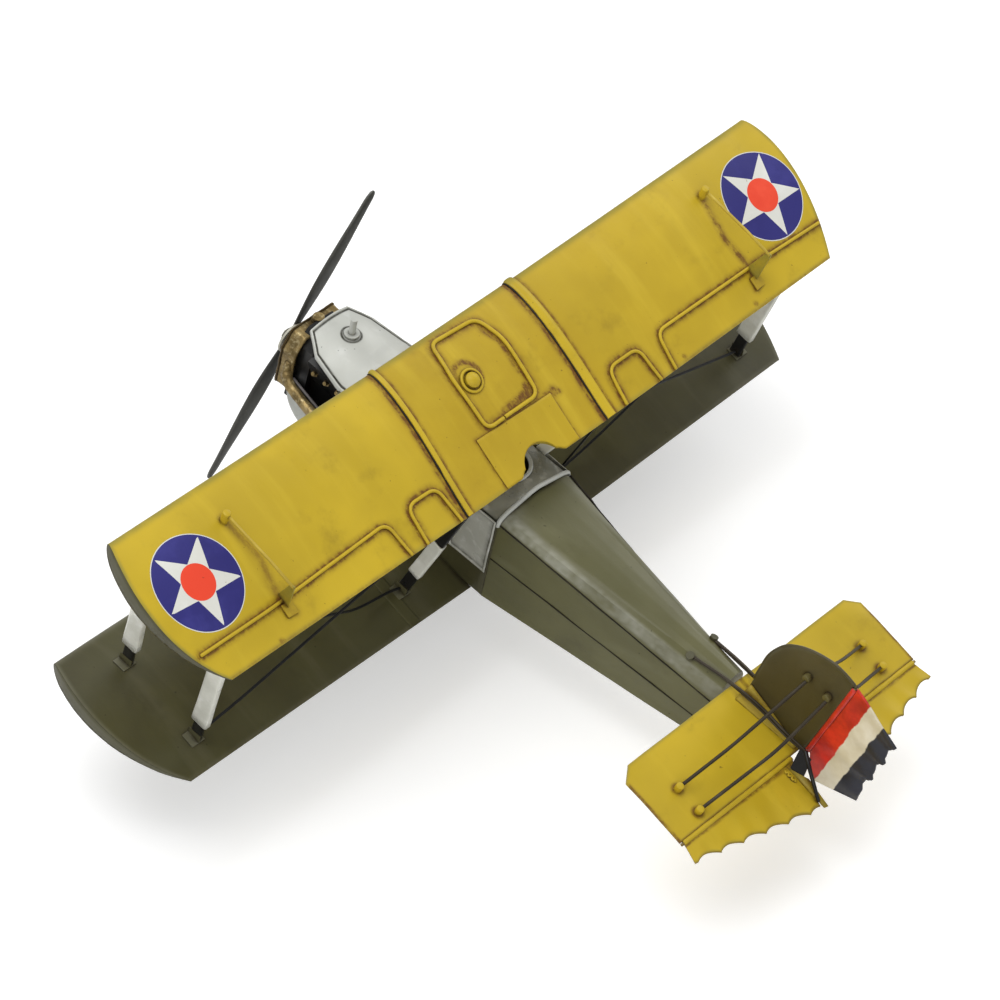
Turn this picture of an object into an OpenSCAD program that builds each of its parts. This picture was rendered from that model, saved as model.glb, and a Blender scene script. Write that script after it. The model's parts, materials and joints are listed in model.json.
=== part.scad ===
// Tin-plate biplane model, two cockpits, tail-down on two wheels and a skid.
// Everything above the wheels is drawn in the thrust-line frame: propeller hub at the
// origin, +X to the port wing, +Y aft, +Z up. stance() then tips it tail-down on the floor.

/* [Stance] */
// Nose-up angle of the thrust line when the model stands on its wheels and skid, degrees
ground_pitch = 8; // [7.5:0.1:8.5]
// Height of the propeller hub above the floor
hub_height = 100; // [99:0.5:102]
// Distance of the wheel axle behind the propeller
axle_aft = 50; // [48:0.5:53]

/* [Wings] */
// Half span of a wing at the trailing edge
tip_x = 231; // [226:1:234]
// Rake of a wing tip: how much wider the leading edge is than the trailing edge
tip_rake = 9.4; // [8:0.2:11]
// Bow of the curved wing tip
tip_bow = 14; // [12:0.5:15]
// Chord of the upper wing
upper_chord = 88; // [87:0.5:89]
// Incidence of the upper wing, degrees
upper_incidence = 17.4; // [17:0.1:17.8]
// Trailing edge of the upper wing centre section, aft of the propeller
upper_te_y = 166; // [165.5:0.1:166.5]
// Trailing edge of the upper wing centre section, above the thrust line
upper_te_z = 53.7; // [53.4:0.1:54.2]
// Half width of the upper wing centre section
centre_half = 51.5; // [51:0.1:52]
// Chord of the lower wing
lower_chord = 91; // [90:0.5:92]
// Incidence of the lower wing, degrees
lower_incidence = 4.1; // [3.9:0.1:4.4]
// Trailing edge of the lower wing root, aft of the propeller
lower_te_y = 158; // [157:0.5:159]
// Trailing edge of the lower wing root, above the thrust line
lower_te_z = -37.5; // [-38:0.1:-37]
// Dihedral of the upper wing, degrees
upper_dihedral = 1.4; // [1.2:0.1:1.6]
// Dihedral of the lower wing, degrees
lower_dihedral = 1.8; // [1.6:0.1:2]
// Greatest thickness of both wing sections
wing_thick = 10; // [9.5:0.1:10.5]
// Sheet metal thickness
sheet = 0.8; // [0.6:0.1:0.9]

/* [Fuselage] */
// Station of the former behind the rear cockpit
former_y = 166; // [165.5:0.1:166.5]
// Station of the tail post
tail_y = 308; // [306:0.5:309]
// Station of the firewall
firewall_y = 52; // [51.5:0.5:53]
// Half width of the fuselage at its top seam
fuselage_half = 27; // [26.5:0.1:27.5]
// Half width of the fuselage at its bottom edge
belly_half = 22; // [21.5:0.1:22.5]

/* [Propeller] */
// Radius of the propeller
prop_radius = 94; // [90:0.5:95]
// Greatest width of a blade
blade_width = 17; // [14:0.5:19]
// Lean of the upper blade to starboard at rest, degrees
prop_rest_angle = 26.5; // [0:0.5:45]
// Radius of the propeller shaft
shaft_r = 1.5; // [1.4:0.05:1.7]

/* [Tail] */
// Half span of the stabiliser
stab_half = 93.5; // [92:0.5:95]
// Station of the elevator hinge
elevator_y = 356.5; // [356:0.1:357]
// Height of the elevator hinge above the thrust line
elevator_z = 8.3; // [8:0.1:8.6]
// Droop of the stabiliser towards its trailing edge, degrees
stab_droop = 13; // [12:0.5:13.5]
// Lean of the rudder hinge, degrees
rudder_lean = 10.6; // [10:0.1:11]
// Radius of the hinge wires
hinge_r = 0.8; // [0.7:0.05:0.9]

/* [Undercarriage] */
// Outer radius of a tyre
tyre_radius = 20; // [19:0.5:21]
// Distance between the middles of the two wheels
wheel_track = 92; // [88:1:96]
// Radius of the wheel axle
axle_r = 1.5; // [1.4:0.05:1.7]
// Running clearance of every bore on its shaft, radial
play = 0.05; // [0.03:0.01:0.08]

/* [Hidden] */
$fn = 48;

yellow = "#c8a62c";
olive = "#55523a";
silver = "#a9aaa6";
brass = "#b08d3c";
black = "#222222";

// the row's origin is the middle of the model's outline on the floor
row_shift_y = -198.325;
strut_foot_x = [60, 214];
strut_top_x = [58, 221];
strut_foot_y = [87, 140];
strut_top_y = [[104, 161], [98, 151]];
rudder_top = 66;
stab_chord = 47.5;

// ---------- frames and small helpers ----------

// Places thrust-line geometry on the floor, tail-down.
module stance() {
  translate([0, row_shift_y, hub_height]) rotate([-ground_pitch, 0, 0]) children();
}

// The same placement for a single point.
function on_row(p) = [
  p.x,
  p.y * cos(ground_pitch) + p.z * sin(ground_pitch) + row_shift_y,
  p.z * cos(ground_pitch) - p.y * sin(ground_pitch) + hub_height];

module both_sides() {
  children();
  mirror([1, 0, 0]) children();
}

// Round rod from a to b.
module rod(a, b, r) {
  v = b - a;
  translate(a)
    rotate([0, acos(v.z / norm(v)), atan2(v.y, v.x)])
      cylinder(h = norm(v), r = r);
}

// Rod through a list of points, with a ball at each bend that the rods run into.
module bent_rod(points, r) {
  last = len(points) - 2;
  back = 0.42 * r;
  for (i = [0 : last]) {
    way = (points[i + 1] - points[i]) / norm(points[i + 1] - points[i]);
    rod(points[i] + (i > 0 ? back : 0) * way, points[i + 1] - (i < last ? back : 0) * way, r);
  }
  for (i = [1 : last]) translate(points[i]) sphere(r = 1.12 * r);
}

// Flat bar from a to b, width along Y at a, from distance start to stop.
module bar(a, b, width, thick, start, stop) {
  v = b - a;
  lean_y = atan2(v.y, v.z);
  lean_x = atan2(v.x, norm([v.y, v.z]));
  translate(a)
    rotate([-lean_y, 0, 0])
      rotate([0, lean_x, 0])
        translate([-thick / 2, -width / 2, start])
          cube([thick, width, stop - start]);
}

// Draws a profile in the Y-Z plane and runs it along +X.
module along_x(length) {
  rotate([90, 0, 90]) linear_extrude(length) children();
}

// Draws a profile in the X-Z plane and runs it along +Y.
module along_y(length) {
  translate([0, length, 0]) rotate([90, 0, 0]) linear_extrude(length) children();
}

// ---------- wing section and outline ----------

// Height of the top skin over the chord line, u is the distance ahead of the trailing edge.
function skin_top(u, chord) = 0.5 + (wing_thick - 0.5) * sin(90 * pow(min(1, u / chord / 0.75), 1.2));

// Section outline: flat bottom, arched top and a rolled leading edge; inset shrinks it.
function wing_section(chord, inset) = let (
    crest = 0.75 * chord,
    nose = chord - crest - inset,
    nose_z = 0.45 * wing_thick,
    top_r = wing_thick - nose_z - inset,
    low_r = nose_z - inset,
    start = inset > 0 ? 0.14 * chord : 0)
  concat(
    [[-start, inset]],
    [for (i = [inset > 0 ? 1 : 0 : 10])
      let (u = start + (crest - start) * i / 10) [-u, skin_top(u, chord) - inset]],
    [for (a = [75 : -15 : 0]) [-crest - nose * cos(a), nose_z + top_r * sin(a)]],
    [for (a = [-22.5 : -22.5 : -90]) [-crest - nose * 0.5 - nose * 0.5 * cos(a), nose_z + low_r * sin(a)]]);

// Plan outline of one wing from the centre line to its curved, raked tip.
module wing_plan(chord, inset) {
  chord_x = tip_rake;
  span = norm([chord_x, chord]);
  r = (span * span / 4 + tip_bow * tip_bow) / (2 * tip_bow);
  centre = [tip_x + chord_x / 2, -chord / 2] + (r - tip_bow) * [-chord, -chord_x] / span;
  translate([0, -chord - 5]) square([centre.x, chord + 10]);
  translate(centre) circle(r = r - inset, $fn = 180);
}

// Folded skin of one wing panel between two stations, in the wing's own frame.
module wing_skin(chord, from_x) {
  intersection() {
    translate([from_x, 0, 0]) along_x(tip_x + 30 - from_x)
      difference() {
        polygon(wing_section(chord, 0));
        polygon(wing_section(chord, sheet));
      }
    translate([0, 0, -5]) linear_extrude(wing_thick + 10) wing_plan(chord, 0);
  }
}

// Thin rib that closes the open end of a wing tip.
module tip_rib(chord) {
  intersection() {
    translate([tip_x - 30, 0, 0]) along_x(70) polygon(wing_section(chord, sheet + 0.05));
    translate([0, 0, -5]) linear_extrude(wing_thick + 10) difference() {
      wing_plan(chord, 0.6);
      wing_plan(chord, 1.6);
    }
  }
}

// The outer panels rise with the dihedral from the edge of the centre section.
module upper_frame() {
  translate([centre_half, upper_te_y, upper_te_z])
    rotate([0, -upper_dihedral, 0])
      rotate([-upper_incidence, 0, 0])
        translate([-centre_half, 0, 0]) children();
}

module upper_centre_frame() {
  translate([0, upper_te_y, upper_te_z]) rotate([-upper_incidence, 0, 0]) children();
}

module lower_frame() {
  translate([belly_half, lower_te_y, lower_te_z])
    rotate([0, -lower_dihedral, 0])
      rotate([-lower_incidence, 0, 0])
        translate([-belly_half, 0, 0]) children();
}

// ---------- fuselage ----------

// Half outlines of the fuselage, bottom edge first: belly, side, top seam, shoulder, deck.
former_half = [[belly_half, -36], [25, -4], [fuselage_half, 26], [24.5, 28.6], [14, 30], [0, 30.5]];
tail_half = [[8, -26.5], [9.4, -13.5], [9.2, 3.5], [8.4, 16], [5, 21], [0, 22]];
front_half = [[belly_half - 0.5, -33], [25, -4], [fuselage_half, 25.5]];

function whole(half) = concat(half, [for (i = [len(half) - 1 : -1 : 0]) [-half[i].x, half[i].y]]);
function shrink(half, d) = [for (p = half) [max(0, p.x - d), p.y > 0 ? p.y - d : p.y + d]];

module slice_at(y, half) {
  translate([0, y, 0]) rotate([90, 0, 0]) linear_extrude(0.01) polygon(whole(half));
}

module fuselage_rear() {
  color(olive) stance() difference() {
    hull() {
      slice_at(former_y + 0.01, former_half);
      slice_at(tail_y, tail_half);
    }
    hull() {
      slice_at(former_y - 1, shrink(former_half, sheet));
      slice_at(tail_y - 1.5, shrink(tail_half, sheet));
    }
  }
}

module fuselage_front() {
  open_top = 20;
  former_box = [former_half[0], former_half[1], [fuselage_half, 25.5]];
  color(olive) stance() difference() {
    hull() {
      slice_at(firewall_y + 0.01, front_half);
      slice_at(former_y - 0.5, former_box);
    }
    hull() {
      slice_at(firewall_y - 1, [for (p = front_half) [p.x - sheet, p.y > 0 ? p.y + open_top : p.y + sheet]]);
      slice_at(former_y + 1, [for (p = former_box) [p.x - sheet, p.y > 0 ? p.y + open_top : p.y + sheet]]);
    }
  }
}

module firewall() {
  color(black) stance() difference() {
    translate([0, firewall_y + 1.2, 0]) along_y(1.2)
      polygon(whole([for (p = front_half) [p.x - sheet - 0.15, p.y > 0 ? p.y - 0.2 : p.y + sheet + 0.1]]));
    translate([0, firewall_y - 1, -20]) rotate([-90, 0, 0]) cylinder(h = 5, r = 6);
  }
}

// Silver deck between the seams, with an opening over each cockpit.
cockpit_r = 15;
cockpit_y = [100, 142];
deck_half = [[fuselage_half, 25.8], [24.6, 28.6], [14, 32.6], [0, 34.2]];

module cockpit_coaming() {
  inner = [for (p = deck_half) [max(0, p.x - sheet), p.y - (p.x > 26 ? 0 : sheet)]];
  color(silver) stance() difference() {
    translate([0, firewall_y, 0]) along_y(former_y - firewall_y - 0.5)
      polygon(concat(whole(deck_half), [for (p = inner) [-p.x, p.y]], [for (i = [len(inner) - 2 : -1 : 0]) inner[i]]));
    for (y = cockpit_y) translate([0, y, 0]) cylinder(h = 60, r = cockpit_r);
  }
}

// Rolled rims of the cockpits and the rolled bead at the former.
module coaming_beads() {
  rim_z = 34.4;
  bead = 1.1;
  color(silver) stance() {
    for (y = cockpit_y) translate([0, y, rim_z]) rotate_extrude($fn = 72)
      translate([cockpit_r + 0.2, 0]) circle(r = bead, $fn = 24);
    bead_path = [[-27.2, former_y + 0.2, 26], [-24.6, former_y + 0.2, 29.6], [-14, former_y + 0.2, 33.2],
      [0, former_y + 0.2, 34.8], [14, former_y + 0.2, 33.2], [24.6, former_y + 0.2, 29.6],
      [27.2, former_y + 0.2, 26]];
    bent_rod(bead_path, bead);
  }
}

// Silver flaps that hang from the coaming over the fuselage sides.
module side_panels() {
  lean = 3.9;
  color(silver) stance() both_sides()
    translate([fuselage_half + 0.3, 0, 25.7]) rotate([0, lean, 0]) difference() {
      along_x(0.9) polygon([[former_y - 0.5, 0], [former_y - 0.5, -40], [former_y - 26, -38.5],
        [112, -8], [112, 0]]);
      translate([0.5, 0, 0]) along_x(1) polygon([[former_y - 2.2, 1], [former_y - 2.2, -37.5],
        [former_y - 25, -36], [113, -6.5], [100, 1]]);
    }
}

module seats() {
  seat_w = 26;
  color("#4a3626") stance() for (y = cockpit_y) translate([-seat_w / 2, y - 8, -2]) {
    cube([seat_w, 18, 2]);
    translate([0, 18, 0]) rotate([-12, 0, 0]) cube([seat_w, 2, 22]);
  }
}

// ---------- nose ----------

radiator_half = [[17, -26], [19.2, -10], [20, 14.5], [15, 25]];
radiator_y = 7;
radiator_depth = 8;
hood_r = 43.5;
hood_crown = 34.4;

module cowl_profile(inset) {
  offset_y = 16 + inset;
  polygon(concat([[offset_y, 4], [offset_y, -8]],
    [for (a = [10 : 16 : 90]) [offset_y + 16 - 16 * cos(a), -8 - (25 - inset) * sin(a)]],
    [[firewall_y + inset * 10, -33 + inset], [firewall_y + inset * 10, 4]]));
}

module cowl_plan(inset) {
  polygon([[-18.6 + inset, 0], [18.6 - inset, 0], [24.9 - inset, firewall_y], [24.9 - inset, firewall_y + 20],
    [inset - 24.9, firewall_y + 20], [inset - 24.9, firewall_y]]);
}

module cowl_solid(inset) {
  intersection() {
    translate([-30, 0, 0]) along_x(60) cowl_profile(inset);
    translate([0, 0, -50]) linear_extrude(70) cowl_plan(inset);
  }
}

// Open tray around the lower half of the engine with a rounded chin.
module lower_cowl() {
  rim_z = -4;
  color(silver) stance() difference() {
    cowl_solid(0);
    cowl_solid(1);
    translate([-40, 0, rim_z]) cube([80, 80, 20]);
  }
}

module hood_plan(inset) {
  polygon([[-14 + inset, 17 + inset], [14 - inset, 17 + inset], [22.5 - inset, 30],
    [fuselage_half - inset, firewall_y - 1], [inset - fuselage_half, firewall_y - 1], [-22.5 + inset, 30]]);
}

module hood_shell(low, high) {
  difference() {
    translate([0, 10, hood_crown - hood_r]) rotate([-90, 0, 0]) cylinder(h = 60, r = hood_r + high, $fn = 180);
    translate([0, 5, hood_crown - hood_r]) rotate([-90, 0, 0]) cylinder(h = 70, r = hood_r - low, $fn = 180);
  }
}

// Arched top plate of the nose with a raised, rolled edge.
module hood() {
  color(silver) stance() {
    intersection() {
      hood_shell(1, 0);
      linear_extrude(60) hood_plan(0);
    }
    intersection() {
      hood_shell(1, 0.7);
      linear_extrude(60) difference() {
        hood_plan(0);
        hood_plan(1.4);
      }
    }
  }
}

module hood_post() {
  color("#c9c7c0") stance() translate([0, 33.6, hood_crown + 0.02]) rotate([4, 0, 0]) {
    cylinder(h = 11, r = 1.8);
    difference() {
      cylinder(h = 1.3, r = 4.2);
      translate([0, 0, -1]) cylinder(h = 4, r = 1.8);
    }
  }
}

module engine_block() {
  color(black) stance() difference() {
    union() {
      translate([-11, 24, -24]) cube([22, firewall_y - 25, 28]);
      both_sides() translate([4, 24, 2]) rotate([0, 22, 0]) cube([8, firewall_y - 25, 20]);
    }
    translate([0, 20, 0]) rotate([-90, 0, 0]) cylinder(h = 9, r = 5);
  }
}

module engine_studs() {
  stud_gap = 8.5;
  color(brass) stance() both_sides() for (i = [0 : 2])
    translate([15.2, 28.5 + i * stud_gap, 10]) rotate([0, 67, 0]) {
      cylinder(h = 3.6, r = 1.1);
      cylinder(h = 1.4, r = 2, $fn = 6);
    }
}

// Exhaust stubs sweep out of the engine bay and run aft along the cowl.
module exhaust_pipes() {
  pipe_r = 2.3;
  color(brass) stance() both_sides() bent_rod([[17.5, 17.5, 6], [21.5, 18.5, 3], [25.5, 23, 0.5],
    [28.2, 31, -1.2], [29.8, 42, -2.2], [30.2, 60, -3.2], [30.2, 82, -4.4]], pipe_r);
}

module radiator_frame() {
  inset = 1.4;
  inner = [for (p = radiator_half) [p.x - inset, p.y > 0 ? p.y - inset : p.y + inset]];
  lip = [for (p = radiator_half) [p.x - 3.2, p.y > 0 ? p.y - 3.2 : p.y + 3.2]];
  color(brass) stance() {
    translate([0, radiator_y, 0]) along_y(radiator_depth) difference() {
      polygon(whole(radiator_half));
      polygon(whole(inner));
    }
    translate([0, radiator_y, 0]) along_y(1) difference() {
      polygon(whole(radiator_half));
      polygon(whole(lip));
    }
  }
}

module radiator_core() {
  fit = 1.45;
  core = [for (p = radiator_half) [p.x - fit, p.y > 0 ? p.y - fit : p.y + fit]];
  color(black) stance() difference() {
    translate([0, radiator_y + 1.05, 0]) along_y(3) polygon(whole(core));
    translate([0, 0, 0]) rotate([-90, 0, 0]) cylinder(h = 30, r = 4.05);
  }
}

module radiator_cap() {
  color(brass) stance() translate([0, radiator_y + radiator_depth / 2, 25.02]) {
    cylinder(h = 1.2, r = 3.4);
    cylinder(h = 3.2, r = 2.6);
    translate([0, 0, 2.2]) cylinder(h = 1.3, r = 3.1);
  }
}

// Bush that carries the propeller shaft through the radiator.
module nose_bearing() {
  color(brass) stance() rotate([-90, 0, 0]) difference() {
    union() {
      translate([0, 0, 4.2]) cylinder(h = 14, r = 4);
      translate([0, 0, 6]) cylinder(h = 0.9, r = 8);
    }
    cylinder(h = 40, r = shaft_r + play);
  }
}

module propeller_shaft() {
  collar_y = 18.4;
  color(silver) stance() rotate([-90, 0, 0]) {
    translate([0, 0, -5.5]) cylinder(h = 29, r = shaft_r);
    translate([0, 0, collar_y]) cylinder(h = 3, r = 3.4);
  }
}

// Width of a blade at distance r from the hub.
function blade_half(r) = let (s = r / prop_radius) (blade_width / 2)
  * (0.42 + 0.58 * pow(sin(90 * min(1, s / 0.62)), 1.5))
  * (s < 0.62 ? 1 : sqrt(max(0, 1 - pow((s - 0.62) / 0.38, 2.4))));

// Two flat stamped blades and a boss on one plate.
module propeller_blades() {
  plate = 1.4;
  radii = [for (i = [0 : 16]) prop_radius * (1 - pow(1 - i / 16, 1.5))];
  edge = concat([for (r = radii) [blade_half(r), r]], [for (i = [15 : -1 : 0]) [-blade_half(radii[i]), radii[i]]]);
  color("#3f3f3c") stance() rotate([0, -prop_rest_angle, 0]) difference() {
    union() {
      for (turn = [0, 180]) rotate([0, turn, 0]) rotate([0, 0, 2])
        translate([0, plate / 2, 0]) rotate([90, 0, 0]) linear_extrude(plate) polygon(edge);
      translate([0, -1.6, 0]) rotate([-90, 0, 0]) cylinder(h = 5.4, r = 5);
    }
    translate([0, -10, 0]) rotate([-90, 0, 0]) cylinder(h = 30, r = shaft_r);
  }
}

// Domed disc and nut in front of the blades.
module propeller_hub() {
  color("#cfcabb") stance() rotate([90, 0, 0]) difference() {
    union() {
      translate([0, 0, 1.65]) cylinder(h = 1.2, r = 9.5);
      translate([0, 0, 2.85]) cylinder(h = 1.4, r1 = 8.8, r2 = 5, $fn = 72);
      translate([0, 0, 4.2]) cylinder(h = 2.4, r = 3.2, $fn = 6);
    }
    translate([0, 0, -10]) cylinder(h = 15.5, r = shaft_r);
  }
}

// ---------- upper wing ----------

module centre_notch() {
  notch_r = 13;
  translate([0, 1.6]) circle(r = notch_r, $fn = 72);
  translate([-17.4, -3]) square([34.8, 10]);
}

module upper_wing_centre() {
  color(yellow) stance() upper_centre_frame() difference() {
    translate([-centre_half, 0, 0]) along_x(2 * centre_half) difference() {
      polygon(wing_section(upper_chord, 0));
      polygon(wing_section(upper_chord, sheet));
    }
    translate([0, 0, -5]) linear_extrude(30) centre_notch();
  }
}

module upper_wing_port() {
  color(yellow) stance() upper_frame() wing_skin(upper_chord, centre_half + 0.1);
}

module upper_wing_starboard() {
  color(yellow) stance() mirror([1, 0, 0]) upper_frame() wing_skin(upper_chord, centre_half + 0.1);
}

// Line along the top skin from the trailing edge round the nose, lifted off the skin.
function skin_line(chord, lift) = let (crest = 0.75 * chord, nose = chord - crest + lift, nose_z = 0.45 * wing_thick)
  concat([for (i = [0 : 10]) [-crest * i / 10, skin_top(crest * i / 10, chord) + lift]],
    [for (a = [75 : -15 : 15]) [-crest - nose * cos(a), nose_z + (wing_thick - nose_z + lift) * sin(a)]]);

// Raised band wrapped over the joint between two wing panels.
module wrap_strap(chord, width) {
  band = 0.9;
  outer = skin_line(chord, band);
  inner = skin_line(chord, 0.02);
  along_x(width) polygon(concat(outer, [for (i = [len(inner) - 1 : -1 : 0]) inner[i]]));
}

module upper_wing_straps() {
  strap_w = 11;
  color(yellow) stance() both_sides() upper_centre_frame()
    translate([centre_half - strap_w / 2, 0, 0]) wrap_strap(upper_chord, strap_w);
}

module wing_tip_caps() {
  color(olive) stance() both_sides() {
    upper_frame() tip_rib(upper_chord);
    lower_frame() tip_rib(lower_chord);
  }
}

// Point on the top skin of the upper centre section; x across, u ahead of the trailing edge.
function on_centre(x, u, lift) = let (w = skin_top(u, upper_chord) + lift) [
  x,
  upper_te_y - u * cos(upper_incidence) + w * sin(upper_incidence),
  upper_te_z + u * sin(upper_incidence) + w * cos(upper_incidence)];

// Point on the top skin of an outer panel on the port side.
function on_upper(x, u, lift) = on_centre(x, u, lift)
  + [0, 0, (x - centre_half) * tan(upper_dihedral)];

// Point on the top skin of the lower wing on the port side.
function on_lower(x, u, lift) = let (w = skin_top(u, lower_chord) + lift) [
  x,
  lower_te_y - u * cos(lower_incidence) + w * sin(lower_incidence),
  lower_te_z + u * sin(lower_incidence) + w * cos(lower_incidence) + (x - belly_half) * tan(lower_dihedral)];

// Half of the rod frame that marks the fuel tank: two legs and a cross bar.
module tank_half(leg_u, bar_u, lift) {
  half = 18;
  corner = 4;
  r = 1;
  a = on_centre(0, leg_u, lift);
  b = on_centre(0, bar_u, lift);
  long = norm(b - a);
  translate(a) rotate([atan2(b.z - a.z, b.y - a.y), 0, 0]) for (side = [0, 1]) mirror([side, 0, 0]) {
    rod([half, 0, 0], [half, long - corner, 0], r);
    rod_bend([half - corner, long - corner, 0], 0, corner, r);
    rod([half - corner, long, 0], [0, long, 0], r);
  }
}

module tank_outline() {
  middle_u = 53;
  color(yellow) stance() {
    tank_half(middle_u - 0.1, 29.5, 0.5);
    tank_half(middle_u + 0.1, 79, 0.2);
  }
}

module tank_cap() {
  cap_at = on_centre(9.5, 55, -0.3);
  color(yellow) stance() translate(cap_at) rotate([-upper_incidence - 8, 0, 0]) {
    rotate_extrude($fn = 60) translate([6, 0.9]) circle(r = 0.9, $fn = 24);
    cylinder(h = 2.6, r = 4.2);
    translate([0, 0, 2.6]) intersection() {
      scale([1, 1, 1]) translate([0, 0, -2.6]) sphere(r = 4.9, $fn = 48);
      cylinder(h = 4, r = 4.2);
    }
  }
}

// Quarter bend of a rod, turned about its own corner centre.
module rod_bend(at, turn, corner, r) {
  translate(at) rotate(turn) rotate_extrude(angle = 90, $fn = 48) translate([corner, 0]) circle(r = r, $fn = 24);
}

// Plane of the top skin near the trailing edge of an outer panel, -Y runs forward.
module on_skin(x, r) {
  reach = 19;
  slope = atan((skin_top(reach, upper_chord) - skin_top(0, upper_chord)) / reach);
  translate(on_upper(x, 0, r * 0.4))
    rotate([0, -upper_dihedral, 0]) rotate([-upper_incidence - slope, 0, 0]) children();
}

// Rods that outline the ailerons and the two small rib frames.
module wing_surface_rods() {
  r = 0.9;
  spar = 19;
  aileron_x = 104;
  aileron_len = 133;
  frame_x = 63.6;
  frame_w = 25;
  corner = 5;
  color(yellow) stance() both_sides() {
    on_skin(aileron_x, r) {
      rod([0, -1, 0], [0, corner - spar, 0], r);
      rod_bend([corner, corner - spar, 0], 180, corner, r);
      rod([corner, -spar, 0], [aileron_len, -spar, 0], r);
    }
    on_skin(frame_x, r) {
      rod([0, -1, 0], [0, corner - spar, 0], r);
      rod_bend([corner, corner - spar, 0], 180, corner, r);
      rod([corner, -spar, 0], [frame_w - corner, -spar, 0], r);
      rod_bend([frame_w - corner, corner - spar, 0], 270, corner, r);
      rod([frame_w, corner - spar, 0], [frame_w, -1, 0], r);
    }
  }
}

aileron_link_x = 183.5;
horn_u = 18;
peg_u = 63;

// Upright control horns soldered beside the aileron outline.
module aileron_horns() {
  horn_h = 14;
  base = on_upper(aileron_link_x, horn_u, -0.2);
  color(yellow) stance() both_sides() translate(base) rotate([-upper_incidence, 0, 0]) {
    along_x(1) polygon([[6, -0.2], [-3.5, -0.3], [-2.2, horn_h], [1.2, horn_h]]);
    translate([-3.5, -5, 0]) cube([4.4, 10, 1.2]);
  }
}

module aileron_wires() {
  top = on_upper(aileron_link_x + 0.5, horn_u, 12.4);
  color("#7a6428") stance() both_sides()
    rod(top + [0, 0.3, 0], on_upper(aileron_link_x + 0.5, peg_u, 4.4), 0.8);
}

module aileron_pegs() {
  at = on_upper(aileron_link_x + 0.5, peg_u, -0.3);
  color(yellow) stance() both_sides() translate(at) rotate([-upper_incidence - 8, 0, 0]) {
    cylinder(h = 5, r = 1.4);
    translate([0, 0, 4]) cylinder(h = 2, r = 2.5);
  }
}

// ---------- lower wing ----------

module lower_wing_port() {
  color(olive) stance() lower_frame() wing_skin(lower_chord, belly_half + 0.6);
}

module lower_wing_starboard() {
  color(olive) stance() mirror([1, 0, 0]) lower_frame() wing_skin(lower_chord, belly_half + 0.6);
}

module lower_wing_straps() {
  strap_w = 9;
  color(olive) stance() both_sides() lower_frame()
    translate([strut_foot_x[0] - 2, 0, 0]) wrap_strap(lower_chord, strap_w);
}

// ---------- struts and wires ----------

function foot_point(i, j) = on_lower(strut_foot_x[i], (lower_te_y - strut_foot_y[j]) / cos(lower_incidence), 1);
function top_point(i, j) = let (u = (upper_te_y - strut_top_y[i][j]) / cos(upper_incidence)) [
  strut_top_x[i],
  strut_top_y[i][j],
  upper_te_z + u * sin(upper_incidence) + (strut_top_x[i] - centre_half) * tan(upper_dihedral)];

module cabane_struts() {
  foot = [[24.5, 92, 28], [24.5, 144, 28]];
  top = [[48, 104, 71], [48, 158, 54.2]];
  color(silver) stance() both_sides() for (i = [0, 1])
    bar(foot[i], top[i], 7, 1.8, 0, norm(top[i] - foot[i]));
}

// Folded silver sleeves around the upper part of every interplane strut.
module strut_sleeves() {
  gap = 16;
  wrap = 0.7;
  color(silver) stance() both_sides() for (i = [0, 1], j = [0, 1]) {
    a = foot_point(i, j);
    b = top_point(i, j);
    difference() {
      bar(a, b, 10, 4.2, gap, norm(b - a) - 1.5);
      bar(a, b, 10 - 2 * wrap, 4.2 - 2 * wrap, gap - 1, norm(b - a) + 1);
    }
  }
}

module strut_cores() {
  color(black) stance() both_sides() for (i = [0, 1], j = [0, 1]) {
    a = foot_point(i, j);
    b = top_point(i, j);
    bar(a, b, 7, 2.4, 0.5, norm(b - a) - 0.6);
  }
}

// Bent feet that lie on the lower wing, pointing outboard.
module strut_feet() {
  color(olive) stance() both_sides() for (i = [0, 1], j = [0, 1]) {
    a = foot_point(i, j);
    translate(a + [0, 0, -0.4]) rotate([j == 0 ? 4 : -14, -lower_dihedral, 0]) {
      translate([-1.6, -4, -0.7]) cube([11, 8, 1]);
      translate([-2.4, -4, -0.7]) cube([0.9, 8, 7]);
    }
  }
}

// Crossed bracing wires between the rear interplane struts.
module rigging_wires() {
  r = 0.7;
  inner_foot = foot_point(0, 1);
  outer_foot = foot_point(1, 1);
  inner_top = top_point(0, 1);
  outer_top = top_point(1, 1);
  color(black) stance() both_sides() {
    rod(outer_foot + [-3.6, 1.5, 1], inner_top + [6, -3, -5], r);
    rod(inner_foot + [4, -1.5, 1], outer_top + [-6, -5.5, -6], r);
  }
}

// ---------- tail ----------

// Frame of the stabiliser: origin on the elevator hinge, local +Y aft along the sheet.
module stab_frame() {
  translate([0, elevator_y, elevator_z]) rotate([-stab_droop, 0, 0]) children();
}

module stabiliser() {
  hinge_gap = 2.4;
  corner = 8;
  color(yellow) stance() {
    stab_frame() {
      translate([0, 0, -0.6]) linear_extrude(1.2) polygon([[0, -stab_chord], [stab_half - corner, -stab_chord],
        [stab_half - 1, -stab_chord + corner * 0.7], [stab_half, -hinge_gap], [-stab_half, -hinge_gap],
        [1 - stab_half, -stab_chord + corner * 0.7], [corner - stab_half, -stab_chord]]);
      // lugs that hold the ends of the hinge wires
      both_sides() {
        translate([stab_half - 1.7, -2.6, -0.6]) cube([1.7, 3.4, 1.2]);
        translate([7, -2.6, -0.6]) cube([3.6, 3.4, 1.2]);
      }
      // fairing folds at the foot of the fin
      both_sides() translate([0.9, -stab_chord + 8, 0.5]) rotate([0, -35, 0])
        linear_extrude(0.8) polygon([[0, 0], [7, 0], [0.6, 34], [0, 34]]);
    }
  }
}

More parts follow.
